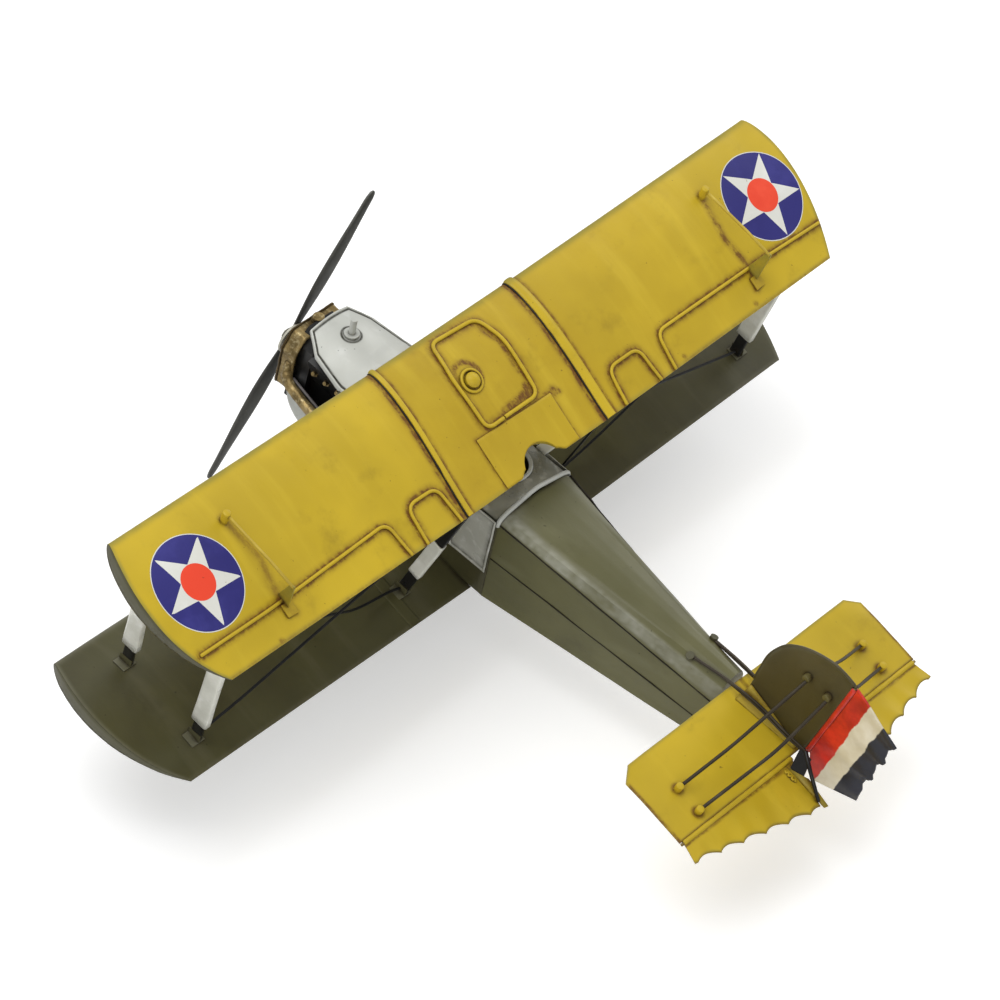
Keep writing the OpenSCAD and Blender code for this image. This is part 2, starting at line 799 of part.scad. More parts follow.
// Outline of one elevator with a scalloped trailing edge; the bead at its hinge is a tube.
module elevator_sheet() {
  inner_x = 12.8;
  outer_x = stab_half + 0.8;
  te_outer = 11.4;
  te_slope = 0.235;
  pitch = 14.1;
  scallop_r = 9;
  te_inner = te_outer + (outer_x - inner_x) * te_slope;
  stab_frame() difference() {
    union() {
      translate([inner_x, 0, 0]) rotate([0, 90, 0]) cylinder(h = stab_half - 2 - inner_x, r = 1.5);
      translate([0, 0, -0.5]) linear_extrude(1) difference() {
        polygon([[inner_x, 0.9], [stab_half - 2, 0.9], [stab_half - 2, 2.4], [outer_x - 0.6, 2.4], [outer_x, te_outer],
          [inner_x + 0.8, te_inner], [inner_x, te_inner - 4]]);
        for (i = [0 : 5])
          translate([outer_x - 2 - pitch * (i + 0.5), te_outer + (2 + pitch * (i + 0.5)) * te_slope + scallop_r - 1.2])
            circle(r = scallop_r, $fn = 48);
      }
    }
    translate([0, 0, 0]) rotate([0, 90, 0]) cylinder(h = 120, r = hinge_r + play);
  }
}

module elevator_port() {
  color(yellow) stance() elevator_sheet();
}

module elevator_starboard() {
  color(yellow) stance() mirror([1, 0, 0]) elevator_sheet();
}

// Black horn on the elevator with its stay to the trailing edge.
module horn_shape() {
  stab_frame() {
    translate([14.2, 0, 0]) along_x(1) polygon([[1.8, 0.45], [7, 0.45], [1.4, 9], [-0.6, 9]]);
    bent_rod([[14.7, 1.6, 7.2], [14.7, 10, 3.6], [14.9, 24, 1]], 0.6);
  }
}

module elevator_horn_port() {
  color(black) stance() horn_shape();
}

module elevator_horn_starboard() {
  color(black) stance() mirror([1, 0, 0]) horn_shape();
}

module elevator_hinge_wires() {
  color(brass) stance() both_sides() stab_frame()
    rod([7.2, 0, 0], [stab_half - 0.2, 0, 0], hinge_r);
}

// Frame of the rudder hinge: origin at its foot, local +Z up the hinge, local +Y aft.
rudder_foot = [0, elevator_y + 2.9, 10];
module rudder_frame() {
  translate(rudder_foot) rotate([-rudder_lean, 0, 0]) children();
}

// Position of a side-view point in the rudder frame.
function in_rudder(p) = let (q = p - [rudder_foot.y, rudder_foot.z]) [
  q.x * cos(rudder_lean) - q.y * sin(rudder_lean),
  q.x * sin(rudder_lean) + q.y * cos(rudder_lean)];

module fin() {
  front_r = 19;
  color(olive) stance() {
    translate([-0.7, 0, 0]) along_x(1.4) intersection() {
      polygon([[316, 21], [324, 58], [333, 70], [350, 78], [371, 76.5], [369, 74], [359, 19],
        [357.4, 14.3], [357.2, 10.2]]);
      union() {
        translate([343.5, 60.4]) circle(r = front_r, $fn = 96);
        translate([300, -10]) square([80, 70.4]);
        translate([343.5, 40]) square([40, 45]);
      }
    }
    // loops that hold the top and the foot of the hinge wire
    rudder_frame() {
      for (z = [1, rudder_top - 3]) difference() {
        union() {
          translate([0, 0, z]) cylinder(h = 3, r = 1.6);
          translate([-0.7, -3.4, z]) cube([1.4, 2.8, 3]);
        }
        translate([0, 0, z - 1]) cylinder(h = 5, r = hinge_r);
      }
    }
  }
}

module rudder() {
  cusps = [[404.5, 61], [403, 42], [399.5, 25], [394.5, 6.2]];
  bite = 10;
  low = 4.6;
  high = rudder_top - 3.6;
  clear = 2.3;
  outline = [[clear, low], [0.9, low], [0.9, high], [clear, high], in_rudder([374.9, 75.4]), in_rudder([393.2, 66.5]),
    in_rudder(cusps[0]), in_rudder(cusps[1]), in_rudder(cusps[2]), in_rudder(cusps[3]),
    in_rudder([381, 2.9]), in_rudder([367.7, -2.5]), in_rudder([364.5, 3])];
  color("#b8b3a6") stance() rudder_frame() difference() {
    union() {
      translate([-0.5, 0, 0]) along_x(1) difference() {
        polygon(outline);
        for (i = [0 : 2]) for (k = [0.25, 0.75]) {
          at = in_rudder(cusps[i] * (1 - k) + cusps[i + 1] * k);
          translate(at + [bite - 1.2, 0]) circle(r = bite, $fn = 48);
        }
      }
      translate([0, 0, low]) cylinder(h = high - low, r = 1.6);
    }
    translate([0, 0, -5]) cylinder(h = 90, r = hinge_r + play);
  }
}

module rudder_hinge_wire() {
  color(brass) stance() rudder_frame() translate([0, 0, 1.2]) cylinder(h = rudder_top - 1.4, r = hinge_r);
}

fin_peg = [[345.8, 59], [359.8, 57]];
stab_peg = [[73, -23], [73, -7.8]];

// Pegs on the fin and on the stabiliser that the brace wires run between.
module tail_pegs() {
  color(yellow) stance() {
    for (p = fin_peg) translate([-3.4, p[0], p[1]]) rotate([0, 90, 0]) cylinder(h = 6.8, r = 2);
    stab_frame() both_sides() for (p = stab_peg) translate([p.x, p.y, 0.4]) {
      cylinder(h = 4.2, r = 1.4);
      translate([0, 0, 3]) cylinder(h = 1.8, r = 2.4);
    }
  }
}

// Point at a given height over the stabiliser sheet.
function over_stab(x, y, lift) = [
  x,
  elevator_y + y * cos(stab_droop) + lift * sin(stab_droop),
  elevator_z - y * sin(stab_droop) + lift * cos(stab_droop)];

module tail_brace_wires() {
  color("#3a352c") stance() both_sides() for (i = [0, 1])
    rod([2.6, fin_peg[i][0], fin_peg[i][1] - 0.6], over_stab(stab_peg[i].x - 1, stab_peg[i].y, 3.4), 0.85);
}

deck_peg = [8.3, 285, 18.6];

module fuselage_pegs() {
  color(olive) stance() both_sides() translate(deck_peg) rotate([0, 18, 0]) {
    cylinder(h = 4.2, r = 1.3);
    translate([0, 0, 3]) cylinder(h = 1.6, r = 2.2);
  }
}

// Control wires from the deck pegs, ending just ahead of the elevator horns.
module control_wires() {
  color("#3a352c") stance() both_sides()
    bent_rod([deck_peg + [1, 1.2, 3.4], [8.6, 322, 22], [12, 347, 18.3]], 0.75);
}

// ---------- undercarriage, drawn on the floor ----------

axle_at = [0, axle_aft + row_shift_y, tyre_radius];
leg_x = 33;

module undercarriage_legs() {
  leg_r = 1.5;
  front_top = on_row([21, 36, -30.5]);
  rear_top = on_row([21.5, 84, -35.5]);
  foot = axle_at + [leg_x, 0, 0];
  color(black) both_sides() {
    rod(front_top, foot + [0, 0, 2.4], leg_r);
    rod(rear_top, foot + [0, 0, 2.4], leg_r);
    difference() {
      translate(foot + [-2, 0, 0]) rotate([0, 90, 0]) cylinder(h = 4, r = 3.6);
      translate(foot + [-5, 0, 0]) rotate([0, 90, 0]) cylinder(h = 10, r = axle_r + 0.02);
    }
  }
  color(black) rod(axle_at + [-leg_x + 2, 0, 2.6], axle_at + [leg_x - 2, 0, 2.6], 0.9);
}

hub_half = 5;
module axle() {
  half = wheel_track / 2 + hub_half + 3.4;
  color(silver) translate(axle_at) {
    rotate([0, 90, 0]) translate([0, 0, -half]) cylinder(h = 2 * half, r = axle_r);
    both_sides() {
      translate([wheel_track / 2 + hub_half + 0.3, 0, 0]) rotate([0, 90, 0]) cylinder(h = 2.6, r = 3.2);
      translate([wheel_track / 2 - hub_half - 1.7, 0, 0]) rotate([0, 90, 0]) cylinder(h = 1.4, r = 3);
    }
  }
}

module tyre_ring() {
  tyre_r = 4.2;
  rotate([0, 90, 0]) rotate_extrude($fn = 96) translate([tyre_radius - tyre_r, 0]) difference() {
    circle(r = tyre_r, $fn = 40);
    translate([-tyre_r - 2.2, -tyre_r]) square([3, 2 * tyre_r]);
  }
}

// Dished wheel disc with a rim for the tyre and a bored hub.
module rim_disc() {
  seat_r = tyre_radius - 4.2 - 3.42;
  rotate([0, 90, 0]) rotate_extrude($fn = 96) polygon([[axle_r + play, -hub_half], [4, -hub_half],
    [4, -2.4], [seat_r, -0.6], [seat_r, -3], [seat_r + 1.3, -3.6], [seat_r + 1.3, -2.4],
    [seat_r + 0.02, -2.3], [seat_r + 0.02, 2.3], [seat_r + 1.3, 2.4], [seat_r + 1.3, 3.6],
    [seat_r - 1.4, 3.4], [5, 4.4], [4, hub_half], [axle_r + play, hub_half]]);
}

module tyre_port() {
  color(black) translate(axle_at + [wheel_track / 2, 0, 0]) tyre_ring();
}

module tyre_starboard() {
  color(black) mirror([1, 0, 0]) translate(axle_at + [wheel_track / 2, 0, 0]) tyre_ring();
}

module rim_port() {
  color(olive) translate(axle_at + [wheel_track / 2, 0, 0]) rim_disc();
}

module rim_starboard() {
  color(olive) mirror([1, 0, 0]) translate(axle_at + [wheel_track / 2, 0, 0]) rim_disc();
}

// Sprung skid under the tail with a flat shoe on the floor.
module tail_skid() {
  shoe_l = 16;
  shoe_w = 7;
  root = on_row([0, 288, -27.3]);
  stay = on_row([0, 304, -26]);
  shoe = [0, root.y + 20, 0];
  color(black) {
    translate(shoe + [-shoe_w / 2, -shoe_l / 2, 0]) cube([shoe_w, shoe_l, 1.6]);
    bar(shoe + [0, -1, 1.6], root, 5, 2, 1.2, norm(root - shoe));
    rod(stay, shoe + [0, -6, 12], 1.1);
  }
}

// ---------- the assembly ----------

fuselage_rear();
fuselage_front();
firewall();
cockpit_coaming();
coaming_beads();
side_panels();
seats();
lower_cowl();
hood();
hood_post();
engine_block();
engine_studs();
exhaust_pipes();
radiator_frame();
radiator_core();
radiator_cap();
nose_bearing();
propeller_shaft();
propeller_blades();
propeller_hub();
upper_wing_centre();
upper_wing_port();
upper_wing_starboard();
upper_wing_straps();
wing_tip_caps();
tank_outline();
tank_cap();
wing_surface_rods();
aileron_horns();
aileron_wires();
aileron_pegs();
lower_wing_port();
lower_wing_starboard();
lower_wing_straps();
cabane_struts();
strut_sleeves();
strut_cores();
strut_feet();
rigging_wires();
stabiliser();
elevator_port();
elevator_starboard();
elevator_horn_port();
elevator_horn_starboard();
elevator_hinge_wires();
fin();
rudder();
rudder_hinge_wire();
tail_pegs();
tail_brace_wires();
fuselage_pegs();
control_wires();
undercarriage_legs();
axle();
tyre_port();
tyre_starboard();
rim_port();
rim_starboard();
tail_skid();
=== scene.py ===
"""Looks of the tin-plate biplane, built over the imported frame."""
import json
from math import atan2, copysign, cos, exp, hypot, pi, radians, sin, sqrt, tan

import bmesh
import bpy
import numpy as np
from mathutils import Matrix, Vector, noise


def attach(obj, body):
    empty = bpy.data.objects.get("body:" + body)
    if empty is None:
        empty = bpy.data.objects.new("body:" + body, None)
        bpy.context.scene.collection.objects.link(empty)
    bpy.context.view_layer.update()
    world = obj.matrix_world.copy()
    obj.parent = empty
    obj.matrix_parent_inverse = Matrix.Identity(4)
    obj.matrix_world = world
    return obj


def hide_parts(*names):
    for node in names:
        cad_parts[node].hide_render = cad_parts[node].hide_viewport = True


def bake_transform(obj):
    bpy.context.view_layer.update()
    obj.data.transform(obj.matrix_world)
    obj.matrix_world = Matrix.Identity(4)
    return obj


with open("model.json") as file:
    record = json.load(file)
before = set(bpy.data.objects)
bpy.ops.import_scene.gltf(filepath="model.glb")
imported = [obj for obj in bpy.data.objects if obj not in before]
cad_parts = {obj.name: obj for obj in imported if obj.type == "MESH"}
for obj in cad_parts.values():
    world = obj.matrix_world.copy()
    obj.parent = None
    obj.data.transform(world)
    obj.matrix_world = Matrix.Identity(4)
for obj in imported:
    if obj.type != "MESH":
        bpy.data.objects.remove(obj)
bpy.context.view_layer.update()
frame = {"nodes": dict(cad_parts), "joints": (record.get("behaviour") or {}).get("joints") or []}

# ---------- the thrust-line frame: millimetres, hub at the origin, X port, Y aft, Z up ----------

SPIN = next(j for j in frame["joints"] if j["name"] == "propeller_spin")
HUB = Vector(SPIN["pos_m"])
PITCH = atan2(SPIN["axis"][2], -SPIN["axis"][1])
TIP_DOWN = Matrix.Rotation(-PITCH, 3, "X")
MM = 0.001
SIDES = ((1, "port"), (-1, "starboard"))


def row(p):
    """Point of the thrust-line frame, in mm, to the row frame, in metres."""
    return HUB + TIP_DOWN @ (Vector(p) * MM)


def smooth(x, a, b):
    """Soft step from 0 at a to 1 at b."""
    t = min(1.0, max(0.0, (x - a) / (b - a)))
    return t * t * (3 - 2 * t)


def fade(x, a, b):
    """Soft step from 1 at a to 0 at b."""
    return 1 - smooth(x, a, b)


def quarter(t):
    """Quarter circle: rises steeply from 0 and levels off at 1."""
    return sqrt(max(0.0, 1 - (1 - min(1, t)) ** 2))


def between(a, b, t):
    """The point at share t from a to b."""
    return tuple(p + (q - p) * t for p, q in zip(a, b))


def steps(a, b, n):
    """n + 1 even steps from a to b."""
    return [a + (b - a) * i / n for i in range(n + 1)]


def circle(n):
    """Angles of n even steps round a circle."""
    return [2 * pi * k / n for k in range(n)]


def wobble(x, y, z, size, seed=0.0):
    """Smooth noise between about -1 and 1; size is the wavelength in mm."""
    return noise.noise(Vector((x / size + seed, y / size + 7.1 * seed, z / size - 3.3 * seed)))


# ---------- materials ----------


class Nodes:
    """Short helpers over a material's node tree."""

    def __init__(self, name):
        self.mat = bpy.data.materials.new(name)
        self.mat.use_nodes = True
        self.tree = self.mat.node_tree
        self.bsdf = self.tree.nodes["Principled BSDF"]
        self.coord = self.add("ShaderNodeTexCoord").outputs["Object"]

    def add(self, kind, **values):
        node = self.tree.nodes.new(kind)
        for key, value in values.items():
            setattr(node, key, value)
        return node

    def feed(self, socket, value):
        """Sets an input: a number, a colour or another node's output."""
        if isinstance(value, (int, float)):
            socket.default_value = value
        elif isinstance(value, tuple):
            socket.default_value = (*value, 1.0)
        else:
            self.tree.links.new(value, socket)

    def surface(self, **values):
        for key, value in values.items():
            self.feed(self.bsdf.inputs[key.replace("_", " ").replace("Ior", "IOR")], value)

    def noise(self, scale, detail=4.0, rough=0.55, stretch=(1, 1, 1), shift=0.0):
        mapping = self.add("ShaderNodeMapping")
        mapping.inputs["Scale"].default_value = stretch
        mapping.inputs["Location"].default_value = (shift, shift * 0.7, -shift)
        self.feed(mapping.inputs["Vector"], self.coord)
        n = self.add("ShaderNodeTexNoise")
        for key, value in (("Scale", scale), ("Detail", detail), ("Roughness", rough)):
            n.inputs[key].default_value = value
        self.feed(n.inputs["Vector"], mapping.outputs["Vector"])
        return n.outputs["Fac"]

    def ramp(self, value, low, high, to_low=0.0, to_high=1.0):
        m = self.add("ShaderNodeMapRange", interpolation_type="SMOOTHSTEP")
        for key, number in (("From Min", low), ("From Max", high), ("To Min", to_low), ("To Max", to_high)):
            m.inputs[key].default_value = number
        self.feed(m.inputs["Value"], value)
        return m.outputs["Result"]

    def math(self, op, a, b, clamp=True):
        m = self.add("ShaderNodeMath", operation=op, use_clamp=clamp and op != "SUBTRACT")
        self.feed(m.inputs[0], a)
        self.feed(m.inputs[1], b)
        return m.outputs[0]

    def mix(self, factor, a, b):
        m = self.add("ShaderNodeMix", data_type="RGBA")
        for index, value in ((0, factor), (6, a), (7, b)):
            self.feed(m.inputs[index], value)
        return m.outputs[2]

    def attribute(self, name):
        return self.add("ShaderNodeAttribute", attribute_name=name).outputs["Fac"]

    def crevice(self, reach):
        """1 in corners and beside raised parts, 0 on open surface: ambient occlusion, used for painted shade."""
        ao = self.add("ShaderNodeAmbientOcclusion", samples=8)
        ao.inputs["Distance"].default_value = reach
        return self.math("SUBTRACT", 1.0, ao.outputs["AO"])

    def bump(self, height, strength, distance):
        b = self.add("ShaderNodeBump")
        b.inputs["Strength"].default_value = strength
        b.inputs["Distance"].default_value = distance
        self.feed(b.inputs["Height"], height)
        self.feed(self.bsdf.inputs["Normal"], b.outputs["Normal"])


# paint slot of the record for each material
SLOTS = {}


def painted(name, slot, base, dark, light, wash, rough=0.42, metal=0.0, corner_shade_amount=0.9, reach=0.0035,
            streak=(1, 1, 1), tint=None, coat=0.0, grain=0.25, chip=None, size=1.0, soil=None, even=0.35,
            shade=None):
    """Hand-painted tin: cloudy colour, brushed streaks, painted shade in the corners, specks, uneven gloss.

    Point attributes place the rest: rim (worn edge, tint; on the rear fuselage a painted highlight), stain (wash
    beside rods), shade (darker area).
    """
    m = Nodes(name)
    SLOTS[m.mat.name] = slot
    col = m.mix(m.ramp(m.noise(14 * size, 3), 0.32, 0.7), dark, base)
    if shade:
        patch = m.ramp(m.noise(30, 5, 0.6, shift=7.7), 0.3, 0.7, 0.55, 1.0)
        col = m.mix(m.math("MULTIPLY", m.attribute("shade"), patch), col, shade)
    col = m.mix(m.ramp(m.noise(55 * size, 4, stretch=streak, shift=3.1), 0.5, 0.78, 0.0, 0.6), col, light)
    col = m.mix(m.ramp(m.noise(38, 6, 0.62, shift=9.4), 0.55, 0.82, 0.0, 0.32), col, wash)
    # rim times noise mixes in the tint: worn edges, and on the rear fuselage a ragged painted highlight band
    if tint:
        worn = m.ramp(m.noise(60, 4, shift=5.5), 0.25, 0.6, 0.45, 1.0)
        col = m.mix(m.math("MULTIPLY", m.attribute("rim"), worn), col, tint)
    # painted shade: corners and spots beside raised parts go darker towards the wash colour, by ambient occlusion;
    # corner_shade_amount sets how strong
    corner = m.ramp(m.crevice(reach), 0.06, 0.5)
    patchy = m.ramp(m.noise(130, 5, 0.65, shift=1.7), 0.3, 0.62, 0.25, 1.0)
    shade_mask = m.math("MULTIPLY", m.math("MULTIPLY", corner, patchy), corner_shade_amount)
    col = m.mix(shade_mask, col, wash)
    ragged = m.ramp(m.noise(260, 6, 0.75, stretch=(1, 0.5, 0.5), shift=2.2), 0.36, 0.6, even, 1.0)
    col = m.mix(m.math("MULTIPLY", m.attribute("stain"), ragged), col, soil or wash)
    speck = m.ramp(m.noise(420, 2, 0.5, shift=6.0), 0.74, 0.78)
    col = m.mix(m.math("MULTIPLY", speck, 0.55), col, wash)
    if chip:
        col = m.mix(m.ramp(m.noise(240, 5, 0.7, shift=8.0), 0.68, 0.72), col, chip)
    gloss = m.ramp(m.noise(26, 5, 0.6, shift=4.0), 0.3, 0.7, rough - 0.08, rough + 0.12)
    m.surface(Base_Color=col, Roughness=m.math("ADD", gloss, m.math("MULTIPLY", shade_mask, 0.25)), Metallic=metal,
              Specular_Ior_Level=0.26, Coat_Weight=coat, Coat_Roughness=0.25)
    relief = m.math("ADD", m.math("MULTIPLY", m.noise(34 * size, 4, stretch=streak, shift=2.0), 0.7),
                    m.math("MULTIPLY", m.noise(650, 3, 0.6), 0.12))
    m.bump(relief, grain, 0.0012)
    return m.mat


CHORDWISE = (1, 0.12, 0.12)
UMBER = (0.075, 0.034, 0.006)
# name, slot, base, dark and light colours, wash (also the colour of the painted shade in corners)
YELLOW = painted("yellow_paint", "yellow_paint", (0.60, 0.425, 0.020), (0.49, 0.345, 0.017), (0.67, 0.49, 0.035),
                 UMBER, streak=CHORDWISE, tint=(0.20, 0.19, 0.045), rough=0.40, coat=0.04, reach=0.004,
                 soil=(0.150, 0.062, 0.010), shade=(0.42, 0.275, 0.012))
OLIVE = painted("olive_paint", "olive_paint", (0.078, 0.074, 0.030), (0.052, 0.047, 0.022), (0.115, 0.108, 0.062),
                (0.02, 0.014, 0.006), streak=CHORDWISE, tint=(0.15, 0.145, 0.095), coat=0.1, corner_shade_amount=0.8)
# the deck's tint is the grey of the painted highlight along the port shoulder of the rear fuselage
DECK = painted("deck_paint", "olive_paint", (0.136, 0.130, 0.053), (0.102, 0.098, 0.040), (0.17, 0.165, 0.085),
               (0.022, 0.014, 0.006), streak=(1, 0.15, 1), tint=(0.33, 0.33, 0.27), rough=0.36, coat=0.2,
               corner_shade_amount=0.85)
FIN_PAINT = painted("fin_paint", "olive_paint", (0.075, 0.061, 0.023), (0.055, 0.045, 0.017),
                    (0.10, 0.085, 0.045), (0.02, 0.012, 0.005), streak=(1, 0.3, 0.3), tint=(0.13, 0.12, 0.06),
                    rough=0.4, coat=0.12)
PEG_PAINT = painted("peg_paint", "yellow_paint", (0.13, 0.11, 0.035), (0.07, 0.055, 0.018), (0.24, 0.21, 0.08),
                    (0.03, 0.015, 0.005), rough=0.35)
SILVER = painted("silver_paint", "silver_paint", (0.56, 0.57, 0.53), (0.50, 0.51, 0.47), (0.66, 0.67, 0.64),
                 (0.03, 0.028, 0.018), metal=0.15, rough=0.38, grain=0.15, size=2.0, even=0.75)
# a darker silver for the coaming deck
DARK_SILVER = painted("darker_silver_paint", "silver_paint", (0.38, 0.38, 0.33), (0.22, 0.22, 0.18),
                      (0.66, 0.66, 0.61), (0.03, 0.028, 0.016), metal=0.35, rough=0.28, corner_shade_amount=0.95,
                      grain=0.3, size=3.0, even=0.6)
PANEL = painted("panel_silver", "silver_paint", (0.58, 0.58, 0.52), (0.46, 0.46, 0.40), (0.80, 0.80, 0.76),
                (0.03, 0.028, 0.016), metal=0.2, rough=0.3, grain=0.2, size=3.0, even=0.6)
SLEEVE = painted("sleeve_silver", "silver_paint", (0.86, 0.86, 0.78), (0.66, 0.66, 0.58), (0.94, 0.94, 0.90),
                 (0.05, 0.045, 0.03), metal=0.15, size=3.0, rough=0.3, grain=0.3)
BAY_GREY = painted("bay_grey", "silver_paint", (0.12, 0.11, 0.11), (0.06, 0.055, 0.055), (0.22, 0.20, 0.20),
                   (0.02, 0.018, 0.015), rough=0.4)
BRASS = painted("brass", "brass", (0.40, 0.29, 0.12), (0.15, 0.105, 0.04), (0.78, 0.66, 0.38),
                (0.04, 0.025, 0.01), metal=0.6, rough=0.33, corner_shade_amount=0.95, grain=1.0, size=8.0)
BRASS_DARK = painted("brass_dark", "brass", (0.10, 0.07, 0.03), (0.06, 0.038, 0.015), (0.30, 0.20, 0.08),
                     (0.03, 0.02, 0.01), metal=0.8, grain=0.9)
BLACK = painted("black_paint", "black_paint", (0.012,) * 3, (0.006,) * 3, (0.03, 0.03, 0.028),
                (0.02, 0.014, 0.008), rough=0.34, coat=0.2)
# near-black lines: the dark fuselage seams, the dark line on the deck's starboard shoulder, and the painted shadow
# beside the wing straps
SEAM_AND_SHADOW = painted("seam_grime_and_shadow", "black_paint", (0.020, 0.015, 0.008), (0.012, 0.009, 0.005), (0.05, 0.042, 0.022),
               (0.01, 0.006, 0.003), rough=0.6)
CHARCOAL = painted("propeller_paint", "propeller_paint", (0.075, 0.076, 0.068), (0.050, 0.051, 0.045),
                   (0.09, 0.09, 0.085), (0.02, 0.018, 0.014), rough=0.45, tint=(0.16, 0.16, 0.15),
                   chip=(0.32, 0.31, 0.28))
WIRE = painted("wire_paint", "wire_steel", (0.050, 0.040, 0.026), (0.028, 0.021, 0.012), (0.10, 0.085, 0.06),
               (0.018, 0.01, 0.005), rough=0.38, metal=0.3)
WIRE_GOLD = painted("wire_gold_paint", "wire_steel", (0.62, 0.46, 0.06), (0.46, 0.33, 0.04), (0.75, 0.58, 0.10),
                    UMBER, rough=0.4, corner_shade_amount=0.3)
WIRE_BLACK = painted("wire_black", "black_paint", (0.010,) * 3, (0.005,) * 3, (0.02,) * 3, (0.01, 0.008, 0.005),
                     rough=0.6)
WHITE = painted("roundel_white", "yellow_paint", (0.76, 0.76, 0.71), (0.68, 0.68, 0.62), (0.80, 0.80, 0.77),
                (0.30, 0.24, 0.12), rough=0.45, corner_shade_amount=0.2)
BLUE = painted("roundel_blue", "yellow_paint", (0.032, 0.030, 0.20), (0.024, 0.022, 0.16), (0.05, 0.048, 0.26),
               (0.01, 0.01, 0.03), corner_shade_amount=0.2)
RED = painted("roundel_red", "yellow_paint", (0.90, 0.078, 0.030), (0.80, 0.06, 0.024), (0.92, 0.10, 0.045),
              (0.25, 0.03, 0.01), corner_shade_amount=0.2)
IVORY = painted("ivory_paint", None, (0.60, 0.58, 0.48), (0.42, 0.41, 0.33), (0.72, 0.70, 0.62),
                (0.10, 0.06, 0.025), rough=0.4, metal=0.1)
RUBBER = painted("tyre_rubber", None, (0.02,) * 3, (0.014,) * 3, (0.035, 0.034, 0.032), (0.03, 0.025, 0.02),
                 rough=0.6)
STEEL = painted("shaft_steel", None, (0.40, 0.40, 0.38), (0.28, 0.28, 0.26), (0.5, 0.5, 0.48),
                (0.05, 0.04, 0.03), metal=0.9, rough=0.35)
SEAT = painted("seat_paint", None, (0.06, 0.035, 0.02), (0.04, 0.022, 0.012), (0.09, 0.06, 0.035),
               (0.012, 0.008, 0.004), rough=0.5)


def striped():
    """Rudder paint: red, ivory and navy bands with hand-painted edges, placed by the attribute band."""
    m = Nodes("rudder_paint")
    SLOTS[m.mat.name] = "rudder_paint"
    wave = m.math("MULTIPLY", m.math("SUBTRACT", m.noise(110, 3, shift=1.0), 0.5), 0.10, clamp=False)
    place = m.math("ADD", m.attribute("band"), wave, clamp=False)
    colours = (((0.42, 0.014, 0.010), (0.80, 0.035, 0.016)), ((0.70, 0.62, 0.43), (0.86, 0.79, 0.62)),
               ((0.010, 0.011, 0.018), (0.018, 0.020, 0.034)))
    red, ivory, navy = (m.mix(m.ramp(m.noise(60, 5, shift=shift), 0.35, 0.7), dark, light)
                        for shift, (dark, light) in zip((0.0, 4, 7), colours))
    col = m.mix(m.ramp(place, 0.325, 0.345), red, ivory)
    col = m.mix(m.ramp(place, 0.645, 0.665), col, navy)
    # painted shade: darker in corners and beside raised parts, by ambient occlusion
    shade_mask = m.math("MULTIPLY", m.ramp(m.crevice(0.003), 0.08, 0.5), 0.75)
    m.surface(Base_Color=m.mix(shade_mask, col, (0.05, 0.02, 0.01)), Specular_Ior_Level=0.4, Coat_Weight=0.2,
              Coat_Roughness=0.2, Roughness=m.ramp(m.noise(60, 4, shift=3), 0.3, 0.7, 0.28, 0.42))
    m.bump(m.noise(120, 4), 0.25, 0.0008)
    return m.mat


RUDDER = striped()

# ---------- mesh builders ----------


def solidify(obj, mm, offset=0.0):
    s = obj.modifiers.new("thickness", "SOLIDIFY")
    s.thickness = mm * MM
    s.offset = offset


def soften(obj, mm):
    b = obj.modifiers.new("edge", "BEVEL")
    b.width = mm * MM
    b.segments = 2
    b.limit_method = "ANGLE"
    b.angle_limit = radians(40)


def mesh_piece(name, verts, faces, mat, body="airframe", slot=None, replaced=(), flat=False, angle=35, thick=0.0,
               offset=0.0, **fields):
    """A mesh from thrust-line points in mm, riding on a body (None leaves it on no body).

    fields are point attributes: one number for all points, or a list. Sheets get a thickness in mm.
    """
    data = bpy.data.meshes.new(name)
    data.from_pydata([row(v) for v in verts], [], faces)
    for key, values in fields.items():
        layer = data.attributes.new(key, "FLOAT", "POINT")
        layer.data.foreach_set("value", values if isinstance(values, list) else [values] * len(verts))
    data.materials.append(mat)
    obj = bpy.data.objects.new(name, data)
    bpy.context.scene.collection.objects.link(obj)
    bm = bmesh.new()
    bm.from_mesh(data)
    bmesh.ops.recalc_face_normals(bm, faces=bm.faces)
    for f in bm.faces:
        f.smooth = not flat
    for e in bm.edges:
        if len(e.link_faces) == 2 and e.calc_face_angle(0.0) > radians(angle):
            e.smooth = False
    bm.to_mesh(data)
    bm.free()
    if body:
        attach(obj, body)
    slot or SLOTS[mat.name]
    if replaced:
        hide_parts(*replaced)
    if thick:
        solidify(obj, thick, offset)
    return obj


def grid_faces(rows, cols, wrap_cols=False, wrap_rows=False, start=0):
    faces = []
    for i in range(rows if wrap_rows else rows - 1):
        for j in range(cols if wrap_cols else cols - 1):
            a, b, c, d = i * cols, (i + 1) % rows * cols, j, (j + 1) % cols
            faces.append(tuple(start + k for k in (a + c, a + d, b + d, b + c)))
    return faces


def prism(name, points, mat, **kw):
    """Slab between two outlines with equal numbers of points, given one after the other."""
    n = len(points) // 2
    faces = [tuple(range(n)), tuple(range(n, 2 * n))]
    faces += [(k, (k + 1) % n, (k + 1) % n + n, k + n) for k in range(n)]
    return mesh_piece(name, points, faces, mat, flat=True, **kw)


def frames_along(points):
    """Parallel-transported frames along a polyline."""
    pts = [Vector(p) for p in points]
    ways = [(pts[min(i + 1, len(pts) - 1)] - pts[max(i - 1, 0)]).normalized() for i in range(len(pts))]
    side = ways[0].orthogonal().normalized()
    out = []
    for p, w in zip(pts, ways):
        side = (side - side.dot(w) * w).normalized()
        out.append((p, side, w.cross(side)))
    return out


